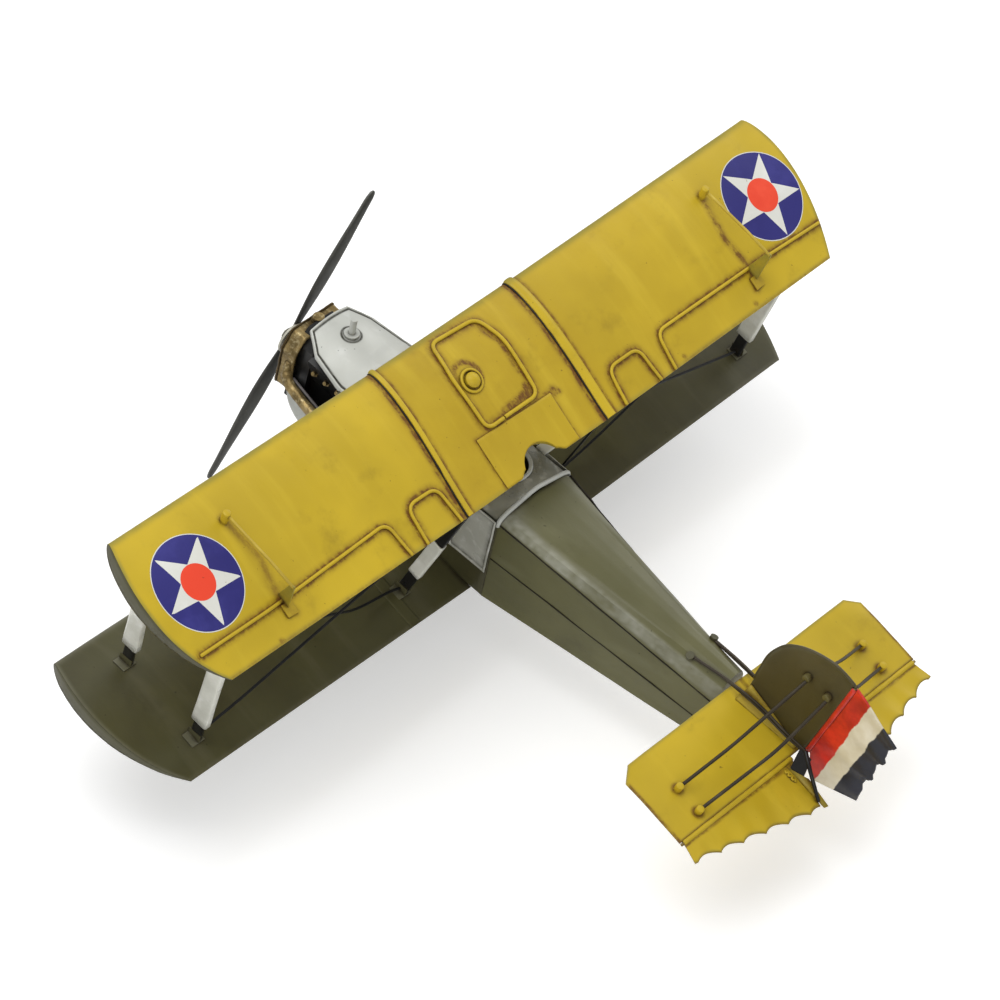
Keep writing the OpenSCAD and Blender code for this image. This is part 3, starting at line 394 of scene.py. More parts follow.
def tube(name, points, radius, mat, sides=14, closed=False, **kw):
    """A round rod through the points; radius is one number or one for each point."""
    radii = radius if isinstance(radius, list) else [radius] * len(points)
    frames = frames_along(points)
    verts = [p + u * (r * cos(a)) + v * (r * sin(a)) for (p, u, v), r in zip(frames, radii) for a in circle(sides)]
    faces = grid_faces(len(points), sides, wrap_cols=True, wrap_rows=closed)
    if not closed:
        for index, before in ((0, 1), (len(points) - 1, -2)):
            way = (Vector(points[index]) - Vector(points[before])).normalized()
            verts.append(frames[index][0] + way * radii[index] * 0.45)
            tip, base = len(verts) - 1, index * sides
            faces += [(base + k, base + (k + 1) % sides, tip) for k in range(sides)]
    return mesh_piece(name, verts, faces, mat, angle=80, **kw)


def fillet(points, radius, step=1.2):
    """Rounds the corners of a 2-D or 3-D polyline and samples it evenly."""
    pts = [Vector(p) for p in points]
    path = [pts[0]]
    for a, b, c in zip(pts, pts[1:], pts[2:]):
        cut = min(radius, (a - b).length * 0.49, (c - b).length * 0.49)
        p, q = b + (a - b).normalized() * cut, b + (c - b).normalized() * cut
        path += [p * (1 - t) ** 2 + b * 2 * t * (1 - t) + q * t * t for t in steps(0, 1, 8)]
    path.append(pts[-1])
    out = [path[0]]
    for a, b in zip(path, path[1:]):
        n = max(1, int((b - a).length / step))
        out += [a.lerp(b, k / n) for k in range(1, n + 1)]
    return out


# ---------- wings ----------

STARBOARD_BOW = 0.55
TIP_X, RAKE, BOW = 231.0, 9.4, 14.0
CREST, NOSE_START = 0.75, 0.875


class Wing:
    """Section, outline and place of one wing; x is across, u runs forward from the trailing edge."""

    def __init__(self, chord, incidence, te_y, te_z, dihedral, flat_half, seed):
        self.chord, self.seed, self.flat_half = chord, seed, flat_half
        self.ci, self.si = cos(radians(incidence)), sin(radians(incidence))
        self.te_y, self.te_z, self.rise = te_y, te_z, tan(radians(dihedral))
        span = hypot(RAKE, chord)
        self.r = (span * span / 4 + BOW * BOW) / (2 * BOW)
        self.cx = TIP_X + RAKE / 2 - (self.r - BOW) * chord / span
        self.cy = -chord / 2 - (self.r - BOW) * RAKE / span

    def tip(self, u, side=1):
        """Half span at u; the starboard tip is hammered flatter than the port one."""
        bowed = self.cx + sqrt(max(0.0, self.r ** 2 - (-u - self.cy) ** 2))
        straight = TIP_X + RAKE * u / self.chord
        return bowed if side > 0 else straight + (bowed - straight) * STARBOARD_BOW

    def top(self, u):
        crest = CREST * self.chord
        if u <= crest:
            return 0.5 + 9.5 * sin(pi / 2 * max(0.0, u / crest) ** 1.2)
        t = min(1.0, (u - crest) / (self.chord - crest))
        return 4.5 + 5.5 * sqrt(max(0.0, 1 - t * t))

    def under(self, u):
        start = NOSE_START * self.chord
        if u <= start:
            return 0.0
        t = min(1.0, (u - start) / (self.chord - start))
        return 4.5 - 4.5 * sqrt(max(0.0, 1 - t * t))

    def place(self, x, u, w):
        y = self.te_y - u * self.ci + w * self.si
        z = self.te_z + u * self.si + w * self.ci + max(0.0, abs(x) - self.flat_half) * self.rise
        return x, y, z

    def dent(self, x, u):
        """Unevenness of the hand-beaten skin."""
        return 0.28 * wobble(x, u * 0.5, 0, 34, self.seed) + 0.10 * wobble(x, u * 0.3, 4, 11, self.seed)

    def on(self, x, u, lift=0.0):
        return self.place(x, u, self.top(u) + self.dent(x, u) + lift)

    def ring(self):
        """(u, 1 on top or 0 below) round the section: forward from the trailing edge and back below."""
        crest, start, chord = CREST * self.chord, NOSE_START * self.chord, self.chord
        line = [(crest * i / 84, 1) for i in range(84)]
        line += [(crest + (chord - crest) * sin(pi / 2 * i / 18), 1) for i in range(19)]
        line += [(start + (chord - start) * cos(pi / 2 * i / 8), 0) for i in range(1, 9)]
        return line + [(start * (1 - i / 12), 0) for i in range(1, 13)]

    def top_line(self):
        return [u for u, upper in self.ring() if upper]


UPPER = Wing(88, 17.4, 166, 53.7, 1.4, 51.5, 1.0)
LOWER = Wing(91, 4.1, 158, -37.5, 1.8, 22, 5.0)


NOTCH_RADIUS, NOTCH_HALF, NOTCH_END = 13, 12.2, 17.6


def notch(x):
    """How far the round cut-out in the trailing edge reaches forward at x."""
    x = abs(x)
    if x < NOTCH_HALF:
        return sqrt(NOTCH_RADIUS ** 2 - x * x) - 1.6
    return 2.9 * fade(x, NOTCH_HALF, NOTCH_END)


# (x, u) of the rods soldered on the upper wing
ROD = 0.95
TANK = [(6.2, 30.4), (18.6, 30.2), (18.9, 60), (14.6, 82.6), (-17.6, 80.6), (-22.6, 64), (-20.4, 30.4), (5.0, 30.5)]
AILERON = {1: [(238.6, 17.6), (190, 17.4), (103.4, 20.4), (100.4, 0.2)],
           -1: [(-237.4, 18.6), (-183, 20.6), (-106.4, 21.4), (-103.8, 0.2)]}
RIB = {1: [(63.0, 0.2), (65.5, 21.2), (87.0, 21.4), (88.6, 0.2)],
       -1: [(-64.6, 0.2), (-67.2, 20.8), (-90.2, 20.6), (-92.0, 0.2)]}
PLATE_FRONT = ((28.1, 29.0), (-27.4, 27.6))
HORN_X, HORN_FOOT, PEG_U = 180.5, 11.5, 65.5


def strap_lines(side):
    """x at u of the port and starboard edges of a strap's ridge."""
    if side > 0:
        return (lambda u: 58.2 - 4.8 * max(0.0, u / 88) ** 1.2, lambda u: 54.4 - 4.6 * max(0.0, u / 88) ** 1.4)
    return lambda u: -49.4, lambda u: -55.9


def wash_paths():
    """(points, core, reach, strength) of the brown wash that gathers beside rods, seams and straps."""
    paths = [(fillet(TANK, 5.5, 1.5), 2.2, 5.4, 1.0)]
    paths.append(([(-17.6, 37), (-17.0, 34.2), (-8, 33.2), (2, 32.4)], 2.4, 4.6, 1.0))
    paths.append(([(-19.2, 46), (-20.6, 64), (-16.4, 74)], 1.7, 3.8, 1.0))
    paths.append(([(-24, 28), (-30, 27), (-33, 26)], 1.2, 3.6, 0.9))
    paths.append(([(9.4 + 7.9 * cos(k / 3), 58.0 + 7.9 * sin(k / 3)) for k in range(20)], 1.2, 3.0, 1.0))
    for side in (1, -1):
        paths.append((fillet(AILERON[side], 6, 1.5), 2.0, 4.8, 0.95))
        paths.append((fillet(RIB[side], 6, 1.5), 2.3, 5.6, 1.0))
        dark, thin = strap_lines(side)
        span = [4 * k for k in range(23)]
        paths.append(([(dark(u) + 1.2, u) for u in span], 1.7, 4.6, 1.0))
        paths.append(([(thin(u) - 0.5, u) for u in span], 1.0, 2.8, 0.85))
        paths.append(([(side * (HORN_X - 3), HORN_FOOT - 2), (side * (HORN_X + 1), HORN_FOOT + 9),
                       (side * (HORN_X - 2.5), 40), (side * (HORN_X + 1.5), PEG_U)], 1.3, 4.4,
                      0.95 if side < 0 else 0.6))
        paths.append(([(side * 230, 0.5), (side * 112, 0.5)], 0.5, 2.2, 0.45))
    (port_x, port_u), (star_x, star_u) = PLATE_FRONT
    paths.append(([(port_x, 0), (port_x, port_u), (star_x, star_u), (star_x, 0)], 0.7, 3.0, 0.8))
    for x, u, size in ((-172.2, 3.2, 1.0), (-113.8, 2.8, 0.9), (193.3, 1.2, 1.1), (-30.5, 27.0, 2.2), (101, 4, 1.6)):
        paths.append(([(x, u), (x + 0.6, u + 0.4)], size, size * 2.4, 1.0))
    return paths


def wash_at(x, u, paths):
    """Strength of the wash at each (x, u), arrays in, array out."""
    out = np.zeros(len(x))
    for points, core, reach, strength in paths:
        near = np.full(len(x), 1e9)
        for (ax, au), (bx, bu) in zip(points, points[1:]):
            dx, du = bx - ax, bu - au
            along = np.clip(((x - ax) * dx + (u - au) * du) / max(1e-9, dx * dx + du * du), 0, 1)
            near = np.minimum(near, np.hypot(x - ax - along * dx, u - au - along * du))
        away = np.clip((near - core) / (reach - core), 0, 1)
        out = np.maximum(out, strength * np.where(near < core, 1.0, 0.62 * (1 - away) ** 1.6))
    return out


def wing_skin(name, wing, x0, x1, cut, mat, replaced, stations, wash=False):
    """Skin of a wing between two stations given as shares of the half span."""
    line = wing.ring()
    verts, rim, flat = [], [], []
    for i in range(stations + 1):
        share = x0 + (x1 - x0) * i / stations
        side = 1 if share > 0 else -1
        for u, upper in line:
            x = share * wing.tip(u, side)
            hinge = wing.chord * 0.6
            near = cut(x) if cut else 0.0
            v = near + u * (hinge - near) / hinge if u < hinge else u
            w = wing.top(v) + wing.dent(x, v) if upper else wing.under(v)
            verts.append(wing.place(x, v, w))
            flat.append((x, v, upper))
            lead = smooth(u, wing.chord - 5, wing.chord - 0.5)
            edge = smooth(abs(x), wing.tip(u, side) - 2.6, wing.tip(u, side) - 0.2) * 0.7
            trail = smooth(3.0 - u, 0, 3) * 0.45
            rim.append(max(0.7 * lead, edge, trail) if upper else 0.5)
    stain = shade = 0.0
    if wash:
        table = np.array(flat, float)
        stain = list(wash_at(table[:, 0], table[:, 1], wash_paths()) * table[:, 2])
        shade = [0.75 * fade(abs(x), 45, 80) + 0.45 * smooth(-x, 40, 90) * fade(-x, 120, 220)
                 for x, _, _ in flat]
    faces = grid_faces(stations + 1, len(line), wrap_cols=True)
    mesh_piece(name, verts, faces, mat, replaced=replaced, angle=50, rim=rim, stain=stain, shade=shade)


def tip_cap(name, wing, side):
    """End plate of a wing tip, set a hair inside the skin."""
    verts = []
    for t in steps(0, pi / 2, 40):
        u = wing.chord * sin(t)
        x = side * (wing.tip(u, side) - 0.35)
        low = wing.under(u) - 0.15 + 0.35 * wobble(u, 0, 0, 9, side * 2.0 + wing.seed)
        for k in range(4):
            w = low + (wing.top(u) + wing.dent(x, u) - 0.25 - low) * k / 3
            verts.append(wing.place(x, u, w))
    mesh_piece(name, verts, grid_faces(41, 4), OLIVE, replaced=("wing_tip_caps",), thick=0.5, rim=0.35)


wing_skin("upper_wing_skin", UPPER, -1, 1, notch, YELLOW,
          ("upper_wing_centre", "upper_wing_port", "upper_wing_starboard"), 700, wash=True)
root_share = 22.4 / LOWER.tip(LOWER.chord / 2)
wing_skin("lower_wing_skin_port", LOWER, root_share, 1, None, OLIVE, ("lower_wing_port",), 240)
wing_skin("lower_wing_skin_starboard", LOWER, -1, -root_share, None, OLIVE, ("lower_wing_starboard",), 240)
for index, (wing, side) in enumerate(((UPPER, 1), (UPPER, -1), (LOWER, 1), (LOWER, -1))):
    tip_cap(f"tip_cap_{index}", wing, side)


def band(name, wing, left, right, height, mat, replaced, edge):
    """Raised band over the top skin; left and right give x at u."""
    cols = [0, 0.02, edge * 0.3, edge * 0.6, edge, 0.5, 1 - edge, 1 - edge * 0.6, 1 - edge * 0.3, 0.98, 1]
    line = wing.top_line()
    verts = []
    for u in line:
        for k, c in enumerate(cols):
            x = left(u) + (right(u) - left(u)) * c
            lift = height * quarter(min(c, 1 - c) / edge)
            if k in (0, len(cols) - 1):
                lift = -0.4
            p = Vector(wing.on(x, u, lift))
            p.y -= smooth(u, 0.8 * wing.chord, wing.chord) * lift
            verts.append(p)
    worn = [smooth(u, wing.chord - 6, wing.chord) * 0.8 for u in line for _ in cols]
    mesh_piece(name, verts, grid_faces(len(line), len(cols)), mat, replaced=(replaced,), angle=60, rim=worn)


for side, tag in SIDES:
    dark, thin = strap_lines(side)
    band(f"wing_strap_{tag}", UPPER, dark, thin, 1.3, YELLOW, "upper_wing_straps", 0.4)
    # painted shadow: a black line along the port edge of each strap, where its raised edge throws shade
    shadow_line = [UPPER.on(dark(u) + 0.35, u, 0.1) for u in UPPER.top_line()]
    tube(f"strap_shadow_line_{tag}", shadow_line, [0.5 + 0.2 * wobble(*p, 7, 3.0) for p in shadow_line], SEAM_AND_SHADOW, sides=8, slot="yellow_paint")
    band(f"lower_strap_{tag}", LOWER, lambda u: side * 59.5, lambda u: side * 67, 0.6, OLIVE,
         "lower_wing_straps", 0.2)


def centre_plate():
    """Thin patch over the rear of the centre section, cut out with the notch."""
    cols, rows_n = 112, 20
    verts = []
    for i in range(cols + 1):
        (port_x, port_u), (star_x, star_u) = PLATE_FRONT
        x = star_x + (port_x - star_x) * i / cols
        front = star_u + (port_u - star_u) * i / cols
        for k in range(rows_n + 1):
            u = notch(x) + (front - notch(x)) * k / rows_n
            verts.append(UPPER.on(x, u, 0.30))
    mesh_piece("centre_plate", verts, grid_faces(cols + 1, rows_n + 1), YELLOW, thick=0.5, offset=-0.2, shade=0.6)


centre_plate()


def drape(points, radius, lift):
    return [UPPER.on(p.x, p.y, lift) for p in fillet(points, radius)]


for side, tag in SIDES:
    tube(f"aileron_rod_{tag}", drape(AILERON[side], 6, ROD * 0.5), ROD, YELLOW,
         replaced=("wing_surface_rods",))
    tube(f"rib_frame_{tag}", drape(RIB[side], 6, ROD * 0.5), ROD, YELLOW)

tube("tank_rod", drape(TANK, 5.5, 0.55), 1.1, YELLOW, replaced=("tank_outline",))

# ---------- struts and wires ----------

# (x, u) of the foot on the lower wing, head under the upper wing
STRUTS = {"outer_front": ((211.5, 68.5), (221.0, 98.0, 79.4)), "outer_rear": ((211.0, 17.3), (221.0, 151.0, 62.4)),
          "inner_front": ((55.0, 70.0), (56.0, 104.0, 73.4)), "inner_rear": ((55.0, 19.3), (56.0, 162.6, 55.4))}


CABANE = (((24.5, 92, 28), (48, 104, 71)), ((26.4, 146.5, 26.5), (48.6, 158, 54)))


def bar(name, a, b, wide, thin, start, stop, mat, *replaced, closed=True, flare=0.0):
    """Flat bar with rounded edges from a towards b; wide runs fore and aft."""
    a, b = Vector(a), Vector(b)
    axis = (b - a).normalized()
    fore = (Vector((0, 1, 0)) - axis * axis.y).normalized()
    out = axis.cross(fore)
    rows_n, around = 14, 28
    verts = []
    for i in range(rows_n + 1):
        t = i / rows_n
        p = a + axis * (start + (stop - start) * t)
        grow = 1 + flare * fade(t, 0, 0.25) + 0.02 * wobble(i, a.x, 0, 4, 2.0)
        for angle in circle(around):
            c, d = (copysign(abs(v) ** 0.35, v) for v in (cos(angle), sin(angle)))
            verts.append(p + fore * (wide / 2 * grow * c) + out * (thin / 2 * grow * d))
    faces = grid_faces(rows_n + 1, around, wrap_cols=True)
    if closed:
        faces += [tuple(range(around)), tuple(rows_n * around + k for k in range(around))]
    mesh_piece(name, verts, faces, mat, replaced=replaced, angle=40, thick=0.0 if closed else 0.7, offset=-1.0)


for side, tag in SIDES:
    for kind, ((x, u), top) in STRUTS.items():
        foot = Vector(LOWER.on(side * x, u, 0.4))
        head = Vector((side * top[0], top[1], top[2]))
        length = (head - foot).length
        # the inner rear pair: a short narrow sleeve to port, to starboard only a thin line
        short = kind == "inner_rear"
        line = short and side < 0
        wide, thin = (1.1, 1.1) if line else (6.6, 2.6)
        bar(f"strut_core_{kind}_{tag}", foot, head, wide, thin, 0.4, length - 0.5, BLACK, "strut_cores")
        if not line:
            wide, low, high = (7.4, 18.5, 52.5) if short else (9.8, 14.5, length - 1.0)
            bar(f"strut_sleeve_{kind}_{tag}", foot, head, wide, 4.4, low, high, SLEEVE, "strut_sleeves",
                closed=False, flare=0.05)
        plate = []
        for lift in (-0.3, 0.7):
            for dx, du in ((-2.4, -4), (6.6, -4), (6.6, 4), (-2.4, 4)):
                plate.append(LOWER.on(side * (x + dx), u + du, lift))
        soften(prism(f"strut_foot_{kind}_{tag}", plate, OLIVE, replaced=("strut_feet",), rim=0.9), 0.2)
        bar(f"strut_lug_{kind}_{tag}", foot + Vector((side * 2.0, 0, -0.6)), foot + Vector((side * 1.2, 0, 8)),
            8.0, 0.8, 0, 4.6, OLIVE)
    inner_foot = Vector(LOWER.on(side * 55.0, 19.3, 1.5))
    outer_foot = Vector(LOWER.on(side * 211.0, 17.3, 1.5))
    path = fillet([outer_foot, outer_foot + Vector((side * -6, 2.0, 5)), outer_foot + Vector((side * -22, 5.0, 15)),
                   Vector((side * 64, 158, 50))], 9, 2.0)
    tube(f"rigging_outer_{tag}", path, 0.75, WIRE_BLACK, replaced=("rigging_wires",))
    path = fillet([inner_foot, inner_foot + Vector((side * 9, -1.5, 2.0)), inner_foot + Vector((side * 36, -2, 6.5)),
                   Vector((side * 118, 141, -2)), Vector((side * 214, 146, 56))], 22, 2.0)
    tube(f"rigging_inner_{tag}", path, 0.7, WIRE_BLACK)
    for index, ends in enumerate(CABANE):
        a, b = (Vector((side * x, y, z)) for x, y, z in ends)
        bar(f"cabane_{index}_{tag}", a, b, 6.4, 1.8, 0, (b - a).length, SLEEVE, "cabane_struts")


def peg(name, base, way, radius, height, mat, *replaced):
    """Short round peg with a softened flat head."""
    base, way = Vector(base), Vector(way).normalized()
    levels = ((-0.8, 1.0), (height - 0.5, 1.0), (height - 0.15, 0.94), (height, 0.8))
    verts = []
    side_way = way.orthogonal().normalized()
    other = way.cross(side_way)
    for level, share in levels:
        for a in circle(24):
            verts.append(base + way * level + (side_way * cos(a) + other * sin(a)) * radius * share)
    faces = grid_faces(len(levels), 24, wrap_cols=True) + [tuple(72 + k for k in range(24))]
    return mesh_piece(name, verts, faces, mat, replaced=replaced, angle=50)


def horn(side, tag):
    """Aileron horn: a leaning triangular plate on a folded foot, its wire and its peg."""
    x = side * HORN_X
    base = [Vector(UPPER.on(x, u, -0.1)) for u in (HORN_FOOT + 1.5, HORN_FOOT + 10)]
    top = Vector((side * 182.9, 155.4, 83.4))
    across = Vector((side * 0.5, 0, 0))
    ring_pts = [base[0], base[1], top + Vector((0, -1.6, 0)), top + Vector((0, 1.4, 0.2))]
    verts = [p - across for p in ring_pts] + [p + across for p in ring_pts]
    plate = prism(f"aileron_horn_{tag}", verts, YELLOW, replaced=("aileron_horns",), rim=0.75)
    foot = []
    for lift in (-0.3, 1.2):
        for dx, du in ((-3.6, -3.0), (3.2, -2.6), (3.2, 4.4), (-3.6, 4.0)):
            foot.append(UPPER.on(x + side * dx, HORN_FOOT + du, lift))
    block = prism(f"aileron_foot_{tag}", foot, YELLOW, rim=0.1, stain=0.3)
    for obj in (plate, block):
        soften(obj, 0.2)
    root = Vector(UPPER.on(side * 182.4, PEG_U, 0.0))
    peg(f"aileron_peg_{tag}", root, (0, 0.12, 1), 2.2, 7.2, YELLOW, "aileron_pegs")
    end = root + Vector((0, 0.8, 5.6))
    tube(f"aileron_wire_{tag}", [top + Vector((0, 0.6, -0.9)), top.lerp(end, 0.35) + Vector((0, 0, 0.3)),
         top.lerp(end, 0.7), end], 0.8, WIRE_GOLD, replaced=("aileron_wires",))


for side, tag in SIDES:
    horn(side, tag)

# ---------- roundels ----------


def roundel(side, tag):
    """White-edged blue disc with a white star and a red centre, laid on the skin."""
    cx, cu, radius = side * 215.8, 47.5, 25.0
    lean = radians(3.5 if side > 0 else -2)
    inner = radius * 0.395

    def star(angle):
        sector = radians(72)
        a = (angle - lean) % sector
        a = min(a, sector - a)
        tip, dip = Vector((radius * 0.985, 0)), Vector((inner * cos(sector / 2), inner * sin(sector / 2)))
        way = dip - tip
        normal = Vector((way.y, -way.x))
        return normal.dot(tip) / (normal.x * cos(a) + normal.y * sin(a))

    layers = (("edge", lambda a: radius + 0.5, 0.05, WHITE), ("disc", lambda a: radius, 0.10, BLUE),
              ("star", star, 0.15, WHITE), ("centre", lambda a: radius * 0.385, 0.20, RED))
    rings, around = 18, 180
    for layer, reach, lift, mat in layers:
        verts = [UPPER.on(cx, cu, lift)]
        for k in range(1, rings + 1):
            for a in circle(around):
                r = reach(a) * k / rings
                # angle 0 points aft, angles grow towards the tip
                verts.append(UPPER.on(cx + side * r * sin(a), cu - r * cos(a), lift))
        faces = [(0, 1 + j, 1 + (j + 1) % around) for j in range(around)]
        faces += grid_faces(rings, around, wrap_cols=True, start=1)
        mesh_piece(f"roundel_{layer}_{tag}", verts, faces, mat)


for side, tag in SIDES:
    roundel(side, tag)

# ---------- fuselage ----------

FORMER_Y, TAIL_Y, FIREWALL_Y = 166.0, 308.0, 52.0
# belly, mid seam, top seam, shoulder, deck: half outline at the former and at the tail
FORMER = [(0, -36.2), (20.6, -36.1), (22, -35.4), (22.6, -26), (24.9, -3.0), (24.95, -2.4), (26.9, 25.0), (27.0, 25.9),
          (26.5, 27.4), (24.0, 29.2), (18, 30.0), (9, 30.4), (0, 30.5)]
TAIL = [(0, -26.6), (7.2, -26.5), (8.0, -26.0), (8.3, -21), (9.4, -13.8), (9.45, -13.2), (9.4, 3.2), (9.4, 4.0),
        (9.2, 8.5), (8.3, 16.5), (6.2, 20.3), (3.2, 21.7), (0, 22.0)]


def aft_share(y):
    """0 at the former, 1 at the tail."""
    return (y - FORMER_Y) / (TAIL_Y - FORMER_Y)


def dense(half, per=5):
    """Subdivides an outline without rounding its corners."""
    out = []
    for a, b in zip(half, half[1:]):
        out += [between(a, b, k / per) for k in range(per)]
    return out + [half[-1]]


verts, rim = [], []
for y in steps(FORMER_Y, TAIL_Y, 70):
    half = [between(p, q, aft_share(y)) for p, q in zip(dense(FORMER), dense(TAIL))]
    verts += [(x, y, z) for x, z in half] + [(-x, y, z) for x, z in reversed(half[1:-1])]
# rim here is a painted highlight: a ragged lighter band on the port shoulder between the top seam and the deck, where
# light falls, and a faint one to starboard
for x, y, z in verts:
    t = aft_share(y)
    seam_z = 25.9 + (4.4 - 25.9) * t
    shoulder_z = 29.4 + (16.5 - 29.4) * t
    highlight_band = smooth(z, seam_z + 0.2, seam_z + 1.5 + 3 * t) * fade(z, shoulder_z - 0.2, shoulder_z + 1.2)
    ragged = 0.55 + 0.6 * wobble(x, y * 0.35, z, 7, 4.0) + 0.5 * wobble(x, y, z, 2.6, 9.0)
    rim.append(max(0.0, min(1.0, ragged + 0.25)) * 0.9 * highlight_band * (1 - 0.35 * t) if x > 0 else 0.35 * highlight_band)
verts = [(x + 0.22 * wobble(y, z, x, 24, 2.0), y, z + 0.25 * wobble(x, y, z, 26, 3.0)) for x, y, z in verts]
ring_n = len(verts) // 71
faces = grid_faces(71, ring_n, wrap_cols=True) + [tuple(range(70 * ring_n, 71 * ring_n))]
mesh_piece("rear_fuselage_skin", verts, faces, DECK, replaced=("fuselage_rear",), angle=30, rim=rim)

SEAMS = (("top", (27.0, 25.9), (9.45, 4.1)), ("mid", (24.95, -2.6), (9.45, -13.4)))
for side, tag in SIDES:
    for index, (key, a, b) in enumerate(SEAMS):
        pts = []
        for t in steps(0, 1, 40):
            y = FORMER_Y + 0.6 + (TAIL_Y - FORMER_Y - 1.0) * t
            x, z = between(a, b, t)
            pts.append((side * (x + 0.02 + 0.12 * wobble(y, 0, 0, 16, index + 2.5)), y,
                        z + 0.35 * wobble(y, 3, 0, 22, index)))
        tube(f"seam_{key}_{tag}", pts, 0.42, SEAM_AND_SHADOW, sides=8)

# a dark ragged line along the starboard shoulder of the deck
edge = []
for i in range(60):
    t = i / 59 * 0.93
    x, z = between((26.6, 27.4), (9.3, 7.4), t)
    edge.append((-x - 0.2 * wobble(i, 0, 0, 3, 2.0), FORMER_Y + 2 + (TAIL_Y - FORMER_Y) * t,
                 z + 0.7 * wobble(i, 2, 0, 5, 4.0)))
tube("deck_edge_dark_line", edge, 0.6, SEAM_AND_SHADOW, sides=8)


def front_profile(y):
    """Sides and belly of the fuselage under the wings, open at the top."""
    half = dense([(0, -34.5), (21.6, -34.2), (22, -33), (25, -4), (26.9, 25.5)], 4)
    full = [(-x, z) for x, z in reversed(half)] + half[1:]
    t = (FORMER_Y - y) / (FORMER_Y - FIREWALL_Y)
    return [(x * (1 - 0.01 * t), y, z + (0.9 * (1 - t) * -1 if z < -20 else 0)) for x, z in full]


verts = [p for y in steps(FIREWALL_Y, FORMER_Y, 30) for p in front_profile(y)]
mesh_piece("front_fuselage_skin", verts, grid_faces(31, len(verts) // 31), OLIVE, replaced=("fuselage_front",),
           thick=0.8)

# centres and radius of the two round openings in the deck
COCKPITS = (100.0, 142.0)
HOLE = 15.0


def deck_z(x):
    """Height of the silver deck: arched, then folded down over the sides."""
    x, fold = abs(x), 24.6
    if x > fold:
        return 28.6 - (x - fold) * 1.15
    return 34.2 - 5.6 * (x / fold) ** 2


def deck_sheet():
    """Deck from a polar grid round each opening, so that the openings are true circles."""
    y_low, y_high, half_w = FIREWALL_Y + 12, FORMER_Y, 27.0
    middle = 0.5 * (COCKPITS[0] + COCKPITS[1])
    around, rings = 144, 14
    for index, (centre, lo, hi) in enumerate(((COCKPITS[0], y_low, middle), (COCKPITS[1], middle, y_high))):
        verts = []
        for k in range(rings + 1):
            for a in circle(around):
                dx, dy = cos(a), sin(a)
                limits = [half_w / abs(dx) if abs(dx) > 1e-6 else 1e9]
                if dy > 1e-6:
                    limits.append((hi - centre) / dy)
                if dy < -1e-6:
                    limits.append((lo - centre) / dy)
                r = HOLE + (min(limits) - HOLE) * k / rings
                x, y = r * dx, centre + r * dy
                verts.append((x, y, deck_z(x) + 0.2 * wobble(x, y, 0, 18, 4.0)))
        mesh_piece(f"coaming_deck_{index}", verts, grid_faces(rings + 1, around, wrap_cols=True), DARK_SILVER,
                   replaced=("cockpit_coaming",), thick=0.8)
    for index, centre in enumerate(COCKPITS):
        pts = []
        for a in circle(96):
            x, y = (HOLE + 0.1) * cos(a), centre + (HOLE + 0.1) * sin(a)
            pts.append((x, y, deck_z(x) + 0.6))
        tube(f"cockpit_rim_{index}", pts, 1.15, SILVER, closed=True, replaced=("coaming_beads",))


deck_sheet()
arc = [(27.1, 0.2, 24.5), (26.9, 0.2, 28.4), (22, 0, 30.6)]
arc = fillet([(-x, FORMER_Y + y, z) for x, y, z in arc] + [(0, FORMER_Y - 0.4, 34.6)]
             + [(x, FORMER_Y + y, z) for x, y, z in reversed(arc)], 5)
tube("former_bead", arc, 1.25, SILVER)


def side_panel(side, tag):
    """Silver flap with a raised border over the fuselage side."""
    def wall(y, z, out):
        x = 25 + (z + 4) * 2 / 29.5 if z > -4 else 25 + (z + 4) * 3 / 32
        return (side * (x + 0.55 + out), y, z)

    rows_n, cols, deep, aft = 60, 70, 41.8, FORMER_Y - 0.5
    verts, grime = [], []
    for s in steps(0, 1, rows_n):
        for t in steps(0, 1, cols):
            z = 27.2 - deep * s
            front = 112 + 28.3 * smooth(s, 0.2, 1.0)
            y = aft + (front - aft) * t
            edge = min(s * deep, (1 - s) * deep, t * (aft - front), (1 - t) * (aft - front))
            out = 0.75 * fade(edge, 0.7, 1.5) + 0.25 * wobble(y, z, 0, 9, 5.0)
            verts.append(wall(y, z - 0.6 * t * s, out))
            groove = 0.85 * fade(abs(edge - 1.7), 0.2, 0.8)
            grime.append(max(groove, 0.4 * fade(edge, 2.0, 5.0) * smooth(edge, 1.2, 2)))
    mesh_piece(f"side_panel_{tag}", verts, grid_faces(rows_n + 1, cols + 1), PANEL, replaced=("side_panels",),
               thick=0.6, stain=grime)


for side, tag in SIDES:
    side_panel(side, tag)

# ---------- nose ----------


